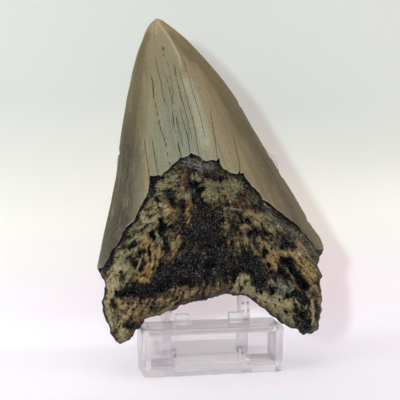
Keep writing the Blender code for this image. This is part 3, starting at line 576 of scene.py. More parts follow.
def face_of_tooth(front):
    """Places across the tooth, their heights, how far down the root each lies, and how far above it."""
    share = np.linspace(0, 1, COLUMNS + 1)
    across = share - EDGE_CROWDING * np.sin(2 * math.pi * share)
    crown_down = np.linspace(0, 1, CROWN_ROWS + 1) ** CROWN_CROWDING
    even = np.linspace(ROOT_ROWS_START, 1, ROOT_ROWS - 1)
    spread = ROOT_SPREAD[0] * even + ROOT_SPREAD[1] * np.sin(even * math.pi / 2)
    root_down = np.concatenate([[ROOT_FIRST_ROW], spread])
    enamel_edge = along(ENAMEL_FRONT if front else ENAMEL_BACK, across)
    ragged = ENAMEL_RAGGED * lumps(enamel_edge, RAGGED_SIZE, RAGGED_SEED, 1.0)
    enamel_edge[:, 1] += ragged * np.sin(math.pi * across) ** 0.5
    tip = np.repeat([np.array(TIP) * MM], COLUMNS + 1, axis=0)
    crown = patch(tip, enamel_edge, along(CROWN_LEFT, crown_down), along(CROWN_RIGHT, crown_down), across,
                  crown_down)
    root_left = along(ROOT_LEFT, root_down)
    root_right = along(ROOT_RIGHT, root_down)
    root = patch(enamel_edge, along(ARCH, across), root_left, root_right, across, root_down)
    # The bone is worn uneven all round its outline, but not where it meets the enamel.
    worn = ease(0, ROOT_WEAR_START, root_down)[:, None]
    for size, amount in ROOT_WEAR:
        for axis, seed in enumerate(ROOT_WEAR_SEEDS):
            root[..., axis] += amount * worn * lumps(root, size, seed, 1.0)

    crown_heights = crown_height(crown, front)
    crown_heights[:, [0, -1]] = 0
    row_width = np.linalg.norm(root_right - root_left, axis=1)[:, None]
    column_length = np.linalg.norm(root[-1] - enamel_edge, axis=1)[None]
    radius = ROOT_FRONT_ROUNDING if front else ROOT_BACK_ROUNDING
    rounding = (
        round_off(across[None] * row_width, radius)
        * round_off((1 - across[None]) * row_width, radius)
        * round_off((1 - root_down[:, None]) * column_length, radius)
    )
    as_crown = crown_height(root, front)
    as_root = root_height(root, rounding, front)
    change = ease(0, ENAMEL_FADE, root_down[:, None])
    ledge = ENAMEL_LEDGE if front else ENAMEL_LEDGE / BACK_LEDGE_DIVISOR
    fade = np.exp(-root_down[:, None] / ENAMEL_FADE)
    step = ledge * np.clip(as_crown / (4 * ENAMEL_LEDGE), 0, 1) * fade
    root_heights = (1 - change) * as_crown + change * as_root - step
    root_heights[-1] = 0
    root_heights[:, [0, -1]] = 0
    down = np.concatenate([np.zeros(CROWN_ROWS + 1), root_down])[:, None] * np.ones(COLUMNS + 1)
    above = np.linalg.norm(crown - enamel_edge[None], axis=-1)
    above = np.concatenate([above, 0 * root_heights]) / MM
    return np.concatenate([crown, root]), np.concatenate([crown_heights, root_heights]), down, above


def select_only(*objects):
    bpy.ops.object.select_all(action="DESELECT")
    for obj in objects:
        obj.select_set(True)
    bpy.context.view_layer.objects.active = objects[0]


def set_attribute(mesh, name, values):
    mesh.attributes.new(name, "FLOAT", "POINT").data.foreach_set("value", values.astype(np.float32).ravel())


def crack_lines(places):
    """How open the nearest crack is at each place, and how far to its right the place is, in millimetres."""
    openness = np.zeros(len(places))
    side = np.full(len(places), NO_CRACK)
    wander = CRACK_WANDER * lumps(places, CRACK_WANDER_SIZE, CRACK_WANDER_SEED, 2.0)
    for widest, path in CRACKS:
        xs, zs = np.array(path[::-1]).T * MM
        offset = (places[:, 0] + wander - np.interp(places[:, 1], zs, xs)) / MM
        ends = ease(0, CRACK_FADE, zs[-1] - places[:, 1]) * ease(-CRACK_TAIL, 0, places[:, 1] - zs[0])
        nearer = np.abs(offset) < np.abs(side)
        side = np.where(nearer, offset, side)
        openness = np.where(nearer, widest * ends, openness)
    return openness * ease(*CRACK_REACH, np.abs(side)), side


CAVITY_REACH = 24


def cavities(heights):
    """How far each point of the grid lies under the mean of its neighbourhood, in millimetres."""
    mean = heights
    for _ in range(CAVITY_REACH):
        edged = np.pad(mean, 1, mode="edge")
        mean = (edged[:-2, 1:-1] + edged[2:, 1:-1] + edged[1:-1, :-2] + edged[1:-1, 2:]) / 4
    return (mean - heights) / MM


CROWN_SPREAD = 62.0 * MM
BACK_GRAIN_SHIFT = 0.3


def make_face(front):
    """A grid added flat, then each of its vertices moved to its place on that face of the tooth."""
    rows = CROWN_ROWS + ROOT_ROWS
    bpy.ops.mesh.primitive_grid_add(x_subdivisions=COLUMNS, y_subdivisions=rows, size=1)
    grid = bpy.context.active_object
    mesh = grid.data
    flat = np.zeros(len(mesh.vertices) * 3)
    mesh.vertices.foreach_get("co", flat)
    flat = flat.reshape(-1, 3)
    column = np.rint((flat[:, 0] + 0.5) * COLUMNS).astype(int)
    row = np.rint((0.5 - flat[:, 1]) * rows).astype(int)
    places, heights, down, above = face_of_tooth(front)
    cavity = cavities(heights)
    places, heights, down = places[row, column], heights[row, column], down[row, column]
    bow = TIP_BOW * (np.clip(places[:, 1] - BOW_START, 0, None) / BOW_LENGTH) ** 2
    outward = -1 if front else 1

    cracks, crack_side = crack_lines(places) if front else (0 * heights, 0 * heights + 1)
    cracks *= down == 0
    heights = heights - CRACK_DEPTH * cracks * np.exp(-((crack_side * MM / CRACK_WIDTH) ** 2))
    mesh.vertices.foreach_set(
        "co", np.stack([places[:, 0], outward * heights - bow, places[:, 1]], axis=-1).ravel()
    )
    set_attribute(mesh, "crack", cracks)
    set_attribute(mesh, "crack_side", crack_side)
    set_attribute(mesh, "cavity", cavity[row, column])
    set_attribute(mesh, "across", share_across(places))
    set_attribute(mesh, "below_enamel", down)
    set_attribute(mesh, "above_root", above[row, column])
    for name in STAINS:
        set_attribute(mesh, name, stain(places, name) if front else 0 * cracks)

    corner = np.zeros(len(mesh.loops), int)
    mesh.loops.foreach_get("vertex_index", corner)
    on_root = np.repeat(row[corner].reshape(-1, 4).min(axis=1) > CROWN_ROWS - 1, 4)
    crown_grain = np.stack([CROWN_SPREAD * share_across(places), places[:, 1]], axis=-1)
    grain = np.where(on_root[:, None], root_grain(places)[corner], crown_grain[corner])
    if not front:
        grain = grain + BACK_GRAIN_SHIFT
    mesh.uv_layers.active.name = "grain"
    mesh.uv_layers["grain"].data.foreach_set("uv", (grain / MM).astype(np.float32).ravel())
    if not front:
        select_only(grid)
        bpy.ops.object.mode_set(mode="EDIT")
        bpy.ops.mesh.select_all(action="SELECT")
        bpy.ops.mesh.flip_normals()
        bpy.ops.object.mode_set(mode="OBJECT")
    return grid


MERGE_DISTANCE = 0.001 * MM
EDGE_MARGIN = 0.002
TOOTH_SMOOTH_ANGLE = math.radians(75)

tooth = make_face(True)
back_face = make_face(False)
tooth.name = tooth.data.name = "fossil_tooth"
select_only(tooth, back_face)
bpy.ops.object.join()
bpy.ops.object.mode_set(mode="EDIT")
bpy.ops.mesh.select_all(action="SELECT")
bpy.ops.mesh.remove_doubles(threshold=MERGE_DISTANCE)
bpy.ops.mesh.select_all(action="DESELECT")
bpy.ops.object.mode_set(mode="OBJECT")


def positions(mesh):
    values = np.zeros(len(mesh.vertices) * 3)
    mesh.vertices.foreach_get("co", values)
    return values.reshape(-1, 3)


def on_cutting_edge(points):
    """Which points lie on the thin edge of the crown, above the root's shoulders."""
    bow = TIP_BOW * (np.clip(points[:, 2] - BOW_START, 0, None) / BOW_LENGTH) ** 2
    share = share_across(points[:, [0, 2]])
    shoulder = np.where(share < 0.5, CROWN_LEFT[-1][1], CROWN_RIGHT[-1][1]) * MM
    margin = np.minimum(share, 1 - share)
    thin = (np.abs(points[:, 1] + bow) < MERGE_DISTANCE) & (margin < EDGE_MARGIN)
    return thin & (points[:, 2] > shoulder)


# The cutting edges get three more points a row, and these are moved out and in to make the serrations.
SERRATION_PITCH = 1.15 * MM
SERRATION_DEPTH = 0.26 * MM
SERRATION_ROUNDNESS = 0.6
SERRATION_FADE = 3 * MM
WEAR_SIZE = 7 * MM
WEAR_SEED = 3.3
WEAR_MIDDLE, WEAR_LEAST = 0.7, 0.25
# Each nick's height up the tooth and its depth, in millimetres.
NICKS = {"left": ((63.0, 0.4),), "right": ((81.0, 0.8), (61.5, 0.7), (54.0, 0.5), (36.5, 0.5))}
NICK_WIDTH = 0.8 * MM
at_edge = on_cutting_edge(positions(tooth.data))
ends = np.zeros(len(tooth.data.edges) * 2, int)
tooth.data.edges.foreach_get("vertices", ends)
tooth.data.edges.foreach_set("select", at_edge[ends.reshape(-1, 2)].all(axis=1))
bpy.ops.object.mode_set(mode="EDIT")
bpy.ops.mesh.subdivide(number_cuts=3, ngon=False, quadcorner="FAN")
bpy.ops.object.mode_set(mode="OBJECT")

points = positions(tooth.data)
at_edge = on_cutting_edge(points)
for side, outline in (("left", CROWN_LEFT), ("right", CROWN_RIGHT)):
    fine = along(outline, np.linspace(0, 1, 2000))
    length = np.concatenate([[0], np.cumsum(np.linalg.norm(np.diff(fine, axis=0), axis=1))])
    heading = np.gradient(fine, axis=0)
    heading /= np.linalg.norm(heading, axis=1)[:, None]
    outward = np.stack([heading[:, 1], -heading[:, 0]], axis=-1) * (1 if side == "left" else -1)
    chosen = at_edge & ((share_across(points[:, [0, 2]]) < 0.5) == (side == "left"))
    z = points[chosen, 2]
    run = np.interp(-z, -fine[:, 1], length)
    wave = np.abs(np.sin(math.pi * run / SERRATION_PITCH)) ** SERRATION_ROUNDNESS
    wear = np.array([noise.noise(Vector((r / WEAR_SIZE, WEAR_SEED, 0.0))) for r in run])
    push = SERRATION_DEPTH * wave * np.clip(WEAR_MIDDLE + wear, WEAR_LEAST, 1)
    for height, depth in NICKS[side]:
        push -= depth * MM * np.exp(-(((z - height * MM) / NICK_WIDTH) ** 2))
    push *= ease(0, SERRATION_FADE, run)
    points[chosen, 0] += push * np.interp(-z, -fine[:, 1], outward[:, 0])
    points[chosen, 2] += push * np.interp(-z, -fine[:, 1], outward[:, 1])

# The finished tooth is leant back and lifted on to the ledge in its own mesh.
lean_cos, lean_sin = math.cos(TOOTH_LEAN), math.sin(TOOTH_LEAN)
leant = np.stack(
    [
        points[:, 0],
        points[:, 1] * lean_cos + points[:, 2] * lean_sin,
        points[:, 2] * lean_cos - points[:, 1] * lean_sin + TOOTH_FOOT,
    ],
    axis=-1,
)
tooth.data.vertices.foreach_set("co", leant.ravel())
tooth.data.update()
select_only(tooth)
bpy.ops.object.shade_smooth_by_angle(angle=TOOTH_SMOOTH_ANGLE)


def colour(red, green, blue):
    """A colour given as it looks on a screen, 0 to 255, as the light it sends back."""
    shown = np.array([red, green, blue]) / 255
    return (*np.where(shown <= 0.04045, shown / 12.92, ((shown + 0.055) / 1.055) ** 2.4), 1.0)


def node(tree, kind, inputs=None, **settings):
    """Adds a node. `inputs` gives each named or numbered input a value or another node's output."""
    made = tree.nodes.new(kind)
    for name, value in settings.items():
        setattr(made, name, value)
    for key, value in (inputs or {}).items():
        if isinstance(value, bpy.types.NodeSocket):
            tree.links.new(value, made.inputs[key])
        else:
            made.inputs[key].default_value = value
    return made


def maths(tree, operation, first, second):
    return node(tree, "ShaderNodeMath", {0: first, 1: second}, operation=operation).outputs[0]


def scaled(tree, value, amount):
    return maths(tree, "MULTIPLY", value, amount)


def plus(tree, first, second):
    return maths(tree, "ADD", first, second)


def minus(tree, first, second):
    return maths(tree, "SUBTRACT", first, second)


def mixed(tree, share, first, second):
    made = node(tree, "ShaderNodeMix", {0: share, 6: first, 7: second}, data_type="RGBA")
    return made.outputs[2]


def tinted(tree, base, mask, strength, shade):
    """The base colour with a shade laid over it where the mask is, at most at the strength given."""
    return mixed(tree, scaled(tree, mask, strength), base, shade)


def ramp(tree, value, stops):
    """A colour ramp from a list of (position, colour)."""
    made = node(tree, "ShaderNodeValToRGB", {0: value})
    elements = made.color_ramp.elements
    while len(elements) < len(stops):
        elements.new(0.5)
    for element, (position, shade) in zip(elements, stops):
        element.position = position
        element.color = shade
    return made.outputs[0]


def eased(tree, value, low, high):
    made = node(tree, "ShaderNodeMapRange", {0: value, 1: low, 2: high}, interpolation_type="SMOOTHSTEP")
    return made.outputs[0]


def attribute(tree, name):
    return node(tree, "ShaderNodeAttribute", attribute_name=name).outputs["Fac"]


def noise_of(tree, vector, stretch, detail, roughness, scale=1.0):
    """Noise over a vector in millimetres, with each axis scaled by `stretch`."""
    mapping = node(tree, "ShaderNodeMapping", {"Vector": vector, "Scale": stretch})
    settings = {"Vector": mapping.outputs[0], "Scale": scale, "Detail": detail, "Roughness": roughness}
    return node(tree, "ShaderNodeTexNoise", settings).outputs["Fac"]


def new_material(name):
    material = bpy.data.materials.new(name)
    material.use_nodes = True
    tree = material.node_tree
    return material, tree, tree.nodes["Principled BSDF"]


# Shades across the crown, from its left edge at 0 to its right at 1. The dark bands by both edges and the
# lighter middle are partly the enamel's own colour, partly painted shade of its sloping margins.
ENAMEL_BANDS_AND_SHADE = [
    (0.00, colour(84, 74, 50)),
    (0.04, colour(52, 44, 29)),
    (0.08, colour(48, 42, 27)),
    (0.12, colour(94, 88, 62)),
    (0.18, colour(128, 122, 93)),
    (0.24, colour(126, 122, 96)),
    (0.36, colour(124, 126, 105)),
    (0.48, colour(134, 132, 111)),
    (0.57, colour(148, 142, 116)),
    (0.66, colour(143, 131, 103)),
    (0.78, colour(132, 119, 89)),
    (0.87, colour(112, 98, 71)),
    (0.93, colour(80, 71, 52)),
    (1.00, colour(108, 98, 74)),
]
# Noise patterns on the enamel's grain: (scale across, scale along, detail, roughness).
ENAMEL_GRAINS = {
    "streaks": (0.9, 0.03, 6, 0.62),
    "fine streaks": (3.4, 0.09, 5, 0.6),
    "clouds": (0.09, 0.05, 4, 0.55),
    "blotches": (0.32, 0.07, 4, 0.65),
    "flecks": (1.6, 0.55, 3, 0.6),
    "hairs": (1.5, 0.05, 4, 0.6),
    "dots": (1.4, 1.1, 2, 0.5),
    "wear": (0.9, 0.35, 3, 0.6),
}
# Layers of tint, in order: (pattern, value where it starts, value where it is whole, strength, shade).
# "rise" is the height up the crown in millimetres, unsettled by the streaks.
ENAMEL_UNDERTINTS = (
    ("streaks", 0.46, 0.70, 0.40, colour(100, 88, 62)),
    ("streaks", 0.46, 0.30, 0.18, colour(158, 154, 130)),
    ("rise", 66.0, 100.0, 0.60, colour(126, 111, 76)),
    ("rise", 108.0, 119.0, 0.75, colour(152, 134, 98)),
    ("fine streaks", 0.50, 0.72, 0.35, colour(74, 68, 50)),
    ("blotches", 0.50, 0.68, 0.30, colour(146, 124, 92)),
    ("blotches", 0.46, 0.30, 0.25, colour(112, 120, 102)),
)
# Soft marks, among them the painted shade of the flanks and the painted highlight of the crest: (attribute,
# how far flecks break it up, start, whole, strength, shade).
ENAMEL_TINTS = (
    ("blush", 1.6, 0.2, 1.2, 0.38, colour(160, 130, 100)),
    ("bloom", 0.8, 0.1, 1.0, 0.42, colour(172, 166, 142)),
    ("bluish", 0.8, 0.1, 1.0, 0.28, colour(116, 130, 122)),
    # painted shade of the flanks
    ("shade", 0.8, 0.1, 1.0, 0.46, colour(84, 72, 46)),
    # painted highlight of the crest
    ("crest", 0.8, 0.1, 1.0, 0.46, colour(190, 166, 126)),
    ("pit", 0.8, 0.1, 1.0, 0.90, colour(40, 33, 22)),
    ("ochre", 2.6, 0.4, 1.25, 0.66, colour(154, 110, 54)),
)
# Speckles over all of it, with the same values as the undertints.
ENAMEL_SPECKLES = (
    ("hairs", 0.52, 0.68, 0.38, colour(84, 77, 56)),
    ("grit", 0.50, 0.68, 0.26, colour(80, 74, 54)),
    ("grit", 0.46, 0.34, 0.06, colour(186, 178, 150)),
    ("dots", 0.70, 0.78, 0.50, colour(84, 74, 54)),
)
ENAMEL_GRIT_SCALE = 1300
CRACK_SHADE = colour(22, 17, 12)
# Colour of the painted highlight on the enamel's lower lip.
LIP_HIGHLIGHT_SHADE = colour(178, 172, 148)


def make_enamel():
    material, tree, shader = new_material("fossil_enamel")
    grain = node(tree, "ShaderNodeUVMap", uv_map="grain").outputs[0]
    place = node(tree, "ShaderNodeTexCoord").outputs["Object"]
    pattern = {
        name: noise_of(tree, grain, (across, along_it, 1), detail, roughness)
        for name, (across, along_it, detail, roughness) in ENAMEL_GRAINS.items()
    }
    pattern["grit"] = noise_of(tree, place, (1, 1, 1), 2, 0.6, ENAMEL_GRIT_SCALE)
    height = node(tree, "ShaderNodeSeparateXYZ", {0: grain}).outputs[1]
    pattern["rise"] = plus(tree, height, scaled(tree, pattern["streaks"], 10.0))

    def layered(base, layers):
        for name, start, whole, strength, shade in layers:
            base = tinted(tree, base, eased(tree, pattern[name], start, whole), strength, shade)
        return base

    wander = plus(tree, scaled(tree, pattern["clouds"], 0.10), scaled(tree, pattern["streaks"], 0.12))
    across = plus(tree, attribute(tree, "across"), minus(tree, wander, 0.11))
    base = layered(ramp(tree, across, ENAMEL_BANDS_AND_SHADE), ENAMEL_UNDERTINTS)
    fleck = minus(tree, pattern["flecks"], 0.5)
    for name, broken, start, whole, strength, shade in ENAMEL_TINTS:
        mark = plus(tree, attribute(tree, name), scaled(tree, fleck, broken))
        base = tinted(tree, base, eased(tree, mark, start, whole), strength, shade)
    base = layered(base, ENAMEL_SPECKLES)

    # A crack is a dark line where the distance to it passes through nought, as wide as its wear makes it.
    openness = attribute(tree, "crack")
    reach = scaled(tree, plus(tree, pattern["wear"], 0.55), 0.12)
    reach = scaled(tree, reach, plus(tree, 0.35, scaled(tree, openness, 0.65)))
    off = maths(tree, "ABSOLUTE", attribute(tree, "crack_side"), 0.0)
    line = eased(tree, minus(tree, off, reach), 0.05, -0.05)
    line = scaled(tree, line, eased(tree, openness, 0.05, 0.75))
    base = tinted(tree, base, line, 0.92, CRACK_SHADE)

    # A painted highlight: a thin pale line along the enamel's broken lower edge, where its lip catches the
    # light.
    lit_lip = plus(tree, attribute(tree, "above_root"), scaled(tree, pattern["clouds"], 1.6))
    base = tinted(tree, base, eased(tree, lit_lip, 1.15, 0.75), 0.7, LIP_HIGHLIGHT_SHADE)

    roughness = plus(tree, 0.34, scaled(tree, pattern["fine streaks"], 0.16))
    height = minus(tree, scaled(tree, pattern["fine streaks"], 0.5), line)
    bump = node(tree, "ShaderNodeBump", {"Height": height, "Strength": 0.35, "Distance": 0.12 * MM})
    tree.links.new(base, shader.inputs["Base Color"])
    tree.links.new(roughness, shader.inputs["Roughness"])
    tree.links.new(bump.outputs[0], shader.inputs["Normal"])
    shader.inputs["Specular IOR Level"].default_value = 0.35
    return material


# Each stain's colour, and how much it lightens the bone as well.
STAIN_LOOKS = (
    ("olive", 0.42, colour(146, 135, 97)),
    ("brown", 0.26, colour(132, 102, 70)),
    ("golden", 0.32, colour(168, 136, 84)),
    ("pale", 0.48, colour(186, 170, 130)),
    ("rust", 0.08, colour(100, 54, 38)),
    ("teal", 0.30, colour(108, 112, 104)),
    ("slate", 0.26, colour(112, 118, 124)),
)


# Noise patterns through the bone: (scale per metre, detail, roughness).
BONE_GRAINS = {
    "grit": (1350, 3, 0.7),
    "patches": (380, 4, 0.6),
    "crumbs": (760, 3, 0.7),
    "hues": (240, 3, 0.6),
    "dips": (980, 3, 0.7),
    "specks": (1900, 2, 0.6),
    "glints": (2300, 2, 0.5),
}
PORES_SCALE = 820.0
TAR_SHADE = colour(5, 5, 6)
DULL_SHADE = colour(44, 38, 31)
CREAM_SHADE = colour(190, 174, 134)
GOLDEN_SHADE = colour(172, 130, 74)
MOSSY_SHADE = colour(114, 118, 92)
DIP_SHADE = colour(34, 28, 20)
# Near black of the painted shade in the relief's hollows.
HOLLOW_PAINTED_SHADE = colour(6, 5, 6)
PAINTED_GLINT_COLOUR = colour(136, 134, 142)


def make_root_bone():
    material, tree, shader = new_material("fossil_root")
    grain = node(tree, "ShaderNodeUVMap", uv_map="grain").outputs[0]
    place = node(tree, "ShaderNodeTexCoord").outputs["Object"]
    pattern = {
        name: noise_of(tree, place, (1, 1, 1), detail, roughness, scale)
        for name, (scale, detail, roughness) in BONE_GRAINS.items()
    }
    fibres = noise_of(tree, grain, (1.2, 0.2, 1), 4, 0.66)
    cells = node(tree, "ShaderNodeTexVoronoi", {"Vector": place, "Scale": PORES_SCALE}, feature="F1")
    pores = eased(tree, cells.outputs["Distance"], 0.34, 0.12)
    cavity = attribute(tree, "cavity")

    def summed(start, parts):
        for value, amount in parts:
            start = plus(tree, start, scaled(tree, value, amount))
        return start

    # Stains settle unevenly: on the grains that stand proud and along the fibres. The hollows of the relief,
    # the pores and the gaps between the fibres are pulled darker as well, which is painted shade.
    gaps = eased(tree, fibres, 0.49, 0.38)
    uneven = summed(-2.54, (
        (pattern["grit"], 2.0), (pattern["patches"], 0.5), (pattern["crumbs"], 1.8), (fibres, 1.2),
        (pores, -0.3), (cavity, -0.5), (gaps, -0.4),
    ))
    tint = mixed(tree, eased(tree, pattern["patches"], 0.38, 0.62), colour(98, 87, 63), colour(114, 96, 69))
    total = summed(uneven, ((attribute(tree, "tar"), -0.62),))
    for name, lift, shade in STAIN_LOOKS:
        mask = attribute(tree, name)
        tint = mixed(tree, eased(tree, summed(mask, ((uneven, 0.3),)), 0.15, 0.75), tint, shade)
        total = summed(total, ((mask, lift),))

    base = mixed(tree, eased(tree, total, -0.45, 0.1), TAR_SHADE, DULL_SHADE)
    base = mixed(tree, eased(tree, total, -0.1, 0.5), base, tint)
    base = mixed(tree, eased(tree, total, 0.5, 1.15), base, CREAM_SHADE)
    # From crumb to crumb the stain turns golden or mossy, and it darkens in the grain's dips.
    shown = scaled(tree, eased(tree, total, 0.0, 0.4), 0.42)
    base = tinted(tree, base, eased(tree, pattern["hues"], 0.51, 0.62), shown, GOLDEN_SHADE)
    base = tinted(tree, base, eased(tree, pattern["hues"], 0.49, 0.38), shown, MOSSY_SHADE)
    base = tinted(tree, base, eased(tree, pattern["dips"], 0.53, 0.40), 0.5, DIP_SHADE)
    # Painted shade: the deepest hollows of the relief are painted near black.
    base = mixed(tree, eased(tree, cavity, 0.15, 0.55), base, HOLLOW_PAINTED_SHADE)

    # Pale specks are painted on the tar: partly its bare pale grains, partly painted glints.
    painted_glints = scaled(tree, eased(tree, pattern["specks"], 0.56, 0.68), eased(tree, total, 0.2, -0.15))
    base = tinted(tree, base, painted_glints, 0.55, PAINTED_GLINT_COLOUR)

    glints = eased(tree, pattern["glints"], 0.56, 0.66)
    rough = ramp(tree, glints, [(0.0, (0.5, 0.5, 0.5, 1)), (1.0, (0.14, 0.14, 0.14, 1))])
    shine = plus(tree, 0.05, scaled(tree, glints, 0.9))
    height = summed(0.0, (
        (pattern["patches"], 1.3), (fibres, 1.1), (pattern["grit"], 0.6), (pattern["crumbs"], 1.0),
        (pores, -0.3),
    ))
    bump = node(tree, "ShaderNodeBump", {"Height": height, "Strength": 1.0, "Distance": 1.4 * MM})
    tree.links.new(base, shader.inputs["Base Color"])
    tree.links.new(rough, shader.inputs["Roughness"])
    tree.links.new(shine, shader.inputs["Specular IOR Level"])
    tree.links.new(bump.outputs[0], shader.inputs["Normal"])
    return material


tooth.data.materials.append(make_enamel())
tooth.data.materials.append(make_root_bone())
down = np.zeros(len(tooth.data.vertices), np.float32)
tooth.data.attributes["below_enamel"].data.foreach_get("value", down)
for polygon in tooth.data.polygons:
    polygon.material_index = int(max(down[index] for index in polygon.vertices) > 0)
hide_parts("tooth")
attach(tooth, "root")

# ---------------------------------------------------------------- the ledge
# A clear acrylic box, injection moulded, open to the front and flared by its mould's draft. The tooth's
# lobes hang over its ends, and the rest's prongs snap through its back wall.

LEDGE_FOOT = (25.4 * MM, 8.45 * MM)
LEDGE_TOP = 17.0 * MM
LEDGE_FLARE = 0.5 * MM
LEDGE_CORNER = 1.3 * MM
LEDGE_ROUNDING = 0.6 * MM
POCKET = ((-22.9 * MM, -12.0 * MM, 4.2 * MM), (22.9 * MM, 6.05 * MM, 14.9 * MM))
RECESS = ((-13.9 * MM, -5.5 * MM, 1.2 * MM), (13.9 * MM, 5.5 * MM, 8.0 * MM))
POCKET_ROUNDING = 0.6 * MM
MOUTH_BEVEL = 0.35 * MM
SLOT_MIDDLE = 12.6 * MM
SLOT_HALF = 1.15 * MM
SLOT_HEIGHTS = (4.6 * MM, 6.8 * MM)
LUG_MIDDLE = 9.8 * MM
LUG_HALF = (2.65 * MM, 1.4 * MM)
LUG_Y = 1.4 * MM
LUG_TOP = 20.8 * MM
LUG_ROUNDING = 0.4 * MM
OVERLAP = 1 * MM
NEAR = 0.01 * MM
MOULDING_SMOOTH_ANGLE = math.radians(32)


def block(low, high):
    """A block between two corners, added as a cube."""
    low, high = np.array(low), np.array(high)
    bpy.ops.mesh.primitive_cube_add(size=1, location=(low + high) / 2)
    made = bpy.context.active_object
    made.scale = high - low
    bpy.ops.object.transform_apply(location=True, rotation=True, scale=True)
    return made


def select_edges(mesh, wanted):
    """Selects the edges whose two ends both pass the test."""
    for element in (*mesh.vertices, *mesh.polygons):
        element.select = False
    for edge in mesh.edges:
        edge.select = all(wanted(mesh.vertices[index].co) for index in edge.vertices)


def bevel_selected(offset, segments):
    bpy.ops.object.mode_set(mode="EDIT")
    bpy.ops.mesh.select_mode(type="EDGE")
    bpy.ops.mesh.bevel(offset=offset, segments=segments, profile=0.5)
    bpy.ops.object.mode_set(mode="OBJECT")


def rounded(piece, offset, segments):
    select_only(piece)
    select_edges(piece.data, lambda place: True)
    bevel_selected(offset, segments)
    return piece


def combine(piece, other, operation):
    modifier = piece.modifiers.new("combine", "BOOLEAN")
    modifier.operation = operation
    modifier.object = other
    select_only(piece)
    bpy.ops.object.modifier_apply(modifier=modifier.name)
    bpy.data.objects.remove(other, do_unlink=True)


ledge_x, ledge_y = LEDGE_FOOT
clear_ledge = block((-ledge_x, -ledge_y, 0), (ledge_x, ledge_y, LEDGE_TOP))
clear_ledge.name = clear_ledge.data.name = "clear_ledge"
select_edges(clear_ledge.data, lambda place: place.z > LEDGE_TOP / 2)
bpy.ops.object.mode_set(mode="EDIT")
bpy.ops.mesh.select_mode(type="EDGE")
bpy.ops.transform.resize(value=(1 + LEDGE_FLARE / ledge_x, 1, 1), center_override=(0, 0, LEDGE_TOP))
bpy.ops.object.mode_set(mode="OBJECT")
for edge in clear_ledge.data.edges:
    low, high = (clear_ledge.data.vertices[index].co.z for index in edge.vertices)
    edge.select = abs(low - high) > LEDGE_TOP / 2
bpy.ops.object.mode_set(mode="EDIT")
bpy.ops.object.mode_set(mode="OBJECT")
bevel_selected(LEDGE_CORNER, 6)
select_edges(clear_ledge.data, lambda place: place.z < NEAR)
bevel_selected(LEDGE_ROUNDING, 4)
select_edges(clear_ledge.data, lambda place: place.z > LEDGE_TOP - NEAR)
bevel_selected(LEDGE_ROUNDING, 4)
combine(clear_ledge, rounded(block(*POCKET), POCKET_ROUNDING, 3), "DIFFERENCE")
select_edges(
    clear_ledge.data,
    lambda place: place.y < NEAR - ledge_y and abs(place.x) < POCKET[1][0] + NEAR
    and POCKET[0][2] - NEAR < place.z < POCKET[1][2] + NEAR,
)
bevel_selected(MOUTH_BEVEL, 3)
combine(clear_ledge, block(*RECESS), "DIFFERENCE")
for side in (-1, 1):
    slot = block(
        (side * SLOT_MIDDLE - SLOT_HALF, POCKET[1][1] - OVERLAP, SLOT_HEIGHTS[0]),
        (side * SLOT_MIDDLE + SLOT_HALF, ledge_y + OVERLAP, SLOT_HEIGHTS[1]),
    )
    combine(clear_ledge, slot, "DIFFERENCE")
    lug = block(
        (side * LUG_MIDDLE - LUG_HALF[0], LUG_Y - LUG_HALF[1], POCKET[1][2] + OVERLAP),
        (side * LUG_MIDDLE + LUG_HALF[0], LUG_Y + LUG_HALF[1], LUG_TOP),
    )
    combine(clear_ledge, rounded(lug, LUG_ROUNDING, 3), "UNION")
select_only(clear_ledge)
bpy.ops.object.shade_smooth_by_angle(angle=MOULDING_SMOOTH_ANGLE)


# Small dark marks in the prongs and arms: (across, height, radius) in millimetres.
PLASTIC_MARKS = (
    (13.8, 22.9, 0.42), (15.7, 22.9, 0.42), (13.8, 20.2, 0.42), (15.7, 20.2, 0.42), (-13.6, 20.8, 0.40),
    (-12.3, 5.4, 0.55), (-12.3, 4.4, 0.45), (13.2, 5.4, 0.55), (13.2, 4.4, 0.40),
)


MARK_SHADE = colour(118, 112, 120)
# The marks lie between these depths, and fade in over half a millimetre.
MARK_NEAR, MARK_FAR, MARK_FADE = 3.0 * MM, 9.5 * MM, 0.5 * MM
PLASTIC_SHADE = colour(243, 238, 237)
# Rose of the painted shade low in the ledge's walls.
ROSY_PAINTED_SHADE = colour(230, 218, 222)


